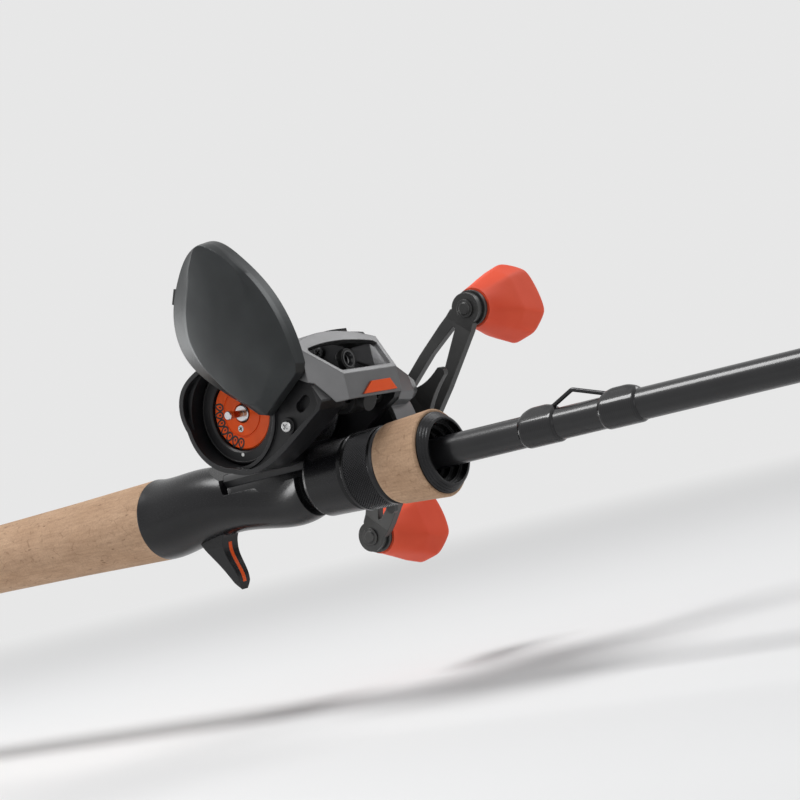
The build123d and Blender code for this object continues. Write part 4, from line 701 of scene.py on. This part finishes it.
def plate_bounds(angle):
    """Radius of the plate's main face about its middle, on a smooth curve through its crease points."""
    crease = (
        (33.6, 33.0), (31.5, 38.4), (26.0, 40.9), (18.5, 42.0), (9.6, 43.3), (4.0, 43.9), (-1.4, 43.9),
        (-6.7, 42.6), (-12.3, 40.2), (-16.6, 37.0), (-17.2, 34.4), (-14.6, 30.0), (-9.1, 24.1), (-2.6, 18.0),
        (2.8, 15.0), (9.2, 14.0), (18.4, 15.4), (27.0, 18.4), (33.2, 22.4), (34.6, 26.5),
    )
    full = 2 * math.pi
    turns = []
    for x, z in crease:
        run, rise = x - plate_middle[0], z - plate_middle[1]
        turns.append(((math.atan2(rise, run) - angle) % full, math.hypot(run, rise)))
    turns.sort()
    before = [(turn - full, radius) for turn, radius in turns[-2:]]
    points = before + turns[:2]
    start, end = points[1], points[2]
    span = end[0] - start[0]
    slopes = [(points[k + 1][1] - points[k - 1][1]) / (points[k + 1][0] - points[k - 1][0]) for k in (1, 2)]
    s = -start[0] / span
    t = 1 - s
    return (
        start[1] * (1 + 2 * s) * t * t + end[1] * s * s * (3 - 2 * s)
        + span * (slopes[0] * s * t * t - slopes[1] * s * s * t)
    )


def plate_rows(start, rim):
    """Points from one place on the plate's wall to its middle, over the lip, the bevel and the face."""
    crown, crease_depth, wall_low, wall_high, wall_lean = 7.2, 6.3, 2.9, 4.7, 0.12
    least_bevel, soft_reach, soft_samples, bevel_steps = 0.25, 2.6, 6, 8
    inner_shares = (0.98, 0.95, 0.91, 0.86, 0.8, 0.72, 0.62, 0.5, 0.36, 0.2)
    middle = Vector((plate_middle[0], 0.0, plate_middle[1]))
    run = Vector((start.x - middle.x, 0, start.z - middle.z))
    angle = math.atan2(run.z, run.x)
    degrees = math.degrees(angle)
    out = run.normalized()
    # The wall is higher along the top, and the crease fades out over the upper front
    top = ease(math.sin(angle), 0.36, 0.7)
    soft = ease(degrees, -20, 25) * (1 - ease(degrees, 92, 118))
    wall = wall_low + (wall_high - wall_low) * top
    lip = run.length - (wall - plate_wall) * wall_lean
    face = min(plate_bounds(angle), lip - least_bevel)

    def depth(radius):
        """How far the bevel or the crowned face stands out from the rim."""
        if radius > face:
            return crease_depth + (wall - crease_depth) * (radius - face) / (lip - face)
        return crown - (crown - crease_depth) * (radius / face) ** 2

    def softened(radius):
        """Depth averaged over a short reach, where the crease fades out."""
        half = min(soft_reach * soft, lip - radius)
        places = [radius + half * k / soft_samples for k in range(-soft_samples, soft_samples + 1)]
        return sum(depth(abs(place)) for place in places) / len(places)

    bevel = [lip + (face - lip) * step / bevel_steps for step in range(bevel_steps + 1)]
    rows = []
    for radius in bevel + [face * share for share in inner_shares]:
        place = middle + out * radius
        rows.append(Vector((place.x, rim - softened(radius), place.z)))
    return rows


def plate_form():
    """Side plate with its creased outer face, over the walls and the inside of the frame's own plate."""
    pivot = Vector((28.25, 0.0, 37.75)) * mm
    open_angle, longest_edge, slack = 67.5, 0.9, 0.05
    close = (Matrix.Scale(1 / mm, 4) @ Matrix.Translation(pivot)
             @ Matrix.Rotation(math.radians(-open_angle), 4, "Y") @ Matrix.Translation(-pivot))
    shell = bmesh.new()
    shell.from_mesh(nodes["side_plate"].data)
    bmesh.ops.remove_doubles(shell, verts=shell.verts, dist=1e-6)
    bmesh.ops.transform(shell, matrix=close, verts=shell.verts)

    # The frame's own outer face goes, found from its outermost face inwards to the wall
    rim = max(vertex.co.y for vertex in shell.verts)
    front = min(shell.faces, key=lambda face: face.calc_center_median().y)
    outside, waiting = {front}, [front]
    while waiting:
        for edge in waiting.pop().edges:
            for face in edge.link_faces:
                if face not in outside and all(v.co.y < rim - plate_wall + slack for v in face.verts):
                    outside.add(face)
                    waiting.append(face)
    bmesh.ops.delete(shell, geom=list(outside), context="FACES")

    # The wall's open edge, in short steps and in order
    for edge in [edge for edge in shell.edges if edge.is_boundary and edge.calc_length() > longest_edge]:
        bmesh.ops.subdivide_edges(shell, edges=[edge], cuts=int(edge.calc_length() / longest_edge))
    links = {}
    for edge in shell.edges:
        if edge.is_boundary:
            for vertex in edge.verts:
                links.setdefault(vertex, []).append(edge.other_vert(vertex))
    loop = [next(iter(links))]
    while len(loop) < len(links):
        loop.append(next(v for v in links[loop[-1]] if v not in loop[-2:]))

    # The new face grows from that edge to the middle
    columns = [[vertex] + [shell.verts.new(p) for p in plate_rows(vertex.co, rim)] for vertex in loop]
    for column, beside in zip(columns, columns[1:] + columns[:1]):
        for row in range(len(column) - 1):
            shell.faces.new((column[row], column[row + 1], beside[row + 1], beside[row]))
    shell.faces.new([column[-1] for column in columns])
    bmesh.ops.recalc_face_normals(shell, faces=shell.faces)
    bmesh.ops.transform(shell, matrix=close.inverted(), verts=shell.verts)
    piece = add_piece("side_plate_form", [], [], finishes["wing"], "side_plate")
    shell.to_mesh(piece.data)
    shell.free()
    piece.data.polygons.foreach_set("use_smooth", [True] * len(piece.data.polygons))
    piece.data.set_sharp_from_angle(angle=math.radians(13))
    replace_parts(piece, "side_plate")


smooth_blank()
smooth_rings()
smooth_wraps("keeper_wraps", 2.5 * mm)
smooth_wraps("guide_wraps", 0)
knurl()
dial_marks()
smooth_knob("knob_upper", knob_lean)
smooth_knob("knob_lower", knob_lean)
plate_form()


# Floor and light

def seen(tree):
    """One for rays that show the background, nought for those that only light the object."""
    paths = node(tree, "ShaderNodeLightPath")
    shown = math_node(tree, "MAXIMUM", paths.outputs["Is Camera Ray"], paths.outputs["Is Glossy Ray"])
    return math_node(tree, "MAXIMUM", shown, paths.outputs["Is Transmission Ray"])


def floor_material():
    """Pale floor that fades into the background tone away from the reel."""
    fade_from, fade_to = 0.3, 1.5
    low, high = (0.78, 0.78, 0.78), (0.8, 0.8, 0.8)
    material, tree, shader = new_material("pale_floor")
    tint = noise(tree, coordinates(tree), 2.0)
    tree.links.new(ramp(tree, tint, [(0.3, low), (0.7, high)]), shader.inputs["Base Color"])
    set_inputs(shader, Roughness=0.9)
    far = node(tree, "ShaderNodeVectorMath", operation="DISTANCE")
    far.inputs[1].default_value = (0.1, 0.0, floor_z)
    tree.links.new(coordinates(tree), far.inputs[0])
    fade = node(tree, "ShaderNodeMapRange", interpolation_type="SMOOTHSTEP")
    set_inputs(fade, From_Min=fade_from, From_Max=fade_to)
    tree.links.new(far.outputs["Value"], fade.inputs["Value"])
    plain = node(tree, "ShaderNodeEmission")
    set_inputs(plain, Color=background_tone, Strength=1.0)
    blend = node(tree, "ShaderNodeMixShader")
    tree.links.new(math_node(tree, "MULTIPLY", fade.outputs["Result"], seen(tree)), blend.inputs["Fac"])
    tree.links.new(shader.outputs["BSDF"], blend.inputs[1])
    tree.links.new(plain.outputs["Emission"], blend.inputs[2])
    tree.links.new(blend.outputs["Shader"], tree.nodes["Material Output"].inputs["Surface"])
    return material


def add_floor():
    """Square floor below the part."""
    span = 12.0
    corners = [(x * span, y * span, floor_z) for x, y in ((-1, -1), (1, -1), (1, 1), (-1, 1))]
    mesh = bpy.data.meshes.new("floor")
    mesh.from_pydata(corners, [], [(0, 1, 2, 3)])
    mesh.materials.append(floor_material())
    floor = bpy.data.objects.new("floor", mesh)
    scene.collection.objects.link(floor)


def add_world():
    """Soft light from all round, with the background tone where it is seen."""
    world = bpy.data.worlds.new("studio")
    scene.world = world
    world.use_nodes = True
    sky = world.node_tree
    light = sky.nodes["Background"]
    set_inputs(light, Color=(0.9, 0.92, 0.95, 1), Strength=0.24)
    shown = node(sky, "ShaderNodeBackground")
    set_inputs(shown, Color=background_tone, Strength=1.0)
    choose = node(sky, "ShaderNodeMixShader")
    sky.links.new(seen(sky), choose.inputs["Fac"])
    sky.links.new(light.outputs[0], choose.inputs[1])
    sky.links.new(shown.outputs[0], choose.inputs[2])
    sky.links.new(choose.outputs[0], sky.nodes["World Output"].inputs["Surface"])


def add_lamps():
    """Soft round lamps: name, place, aim, size in metres and power in watts."""
    for name, place, aim, size, power in (
        ("key", (-0.3, -0.35, 1.0), (0.0, 0.0, 0.02), 0.5, 9.5),
        ("rim", (0.5, 0.75, 0.8), (0.03, 0.0, 0.03), 0.6, 4.5),
        ("side", (-1.0, -0.28, 0.06), (0.0, 0.0, 0.03), 0.5, 4.5),
        ("fill", (0.9, -0.6, 0.3), (0.03, 0.0, 0.0), 0.8, 1.2),
    ):
        lamp = bpy.data.lights.new(name, "AREA")
        lamp.shape = "DISK"
        lamp.size = size
        lamp.energy = power
        holder = bpy.data.objects.new(name, lamp)
        scene.collection.objects.link(holder)
        holder.location = place
        holder.rotation_euler = (Vector(aim) - Vector(place)).to_track_quat("-Z", "Y").to_euler()


add_floor()
add_world()
add_lamps()
scene.view_settings.view_transform = "Standard"
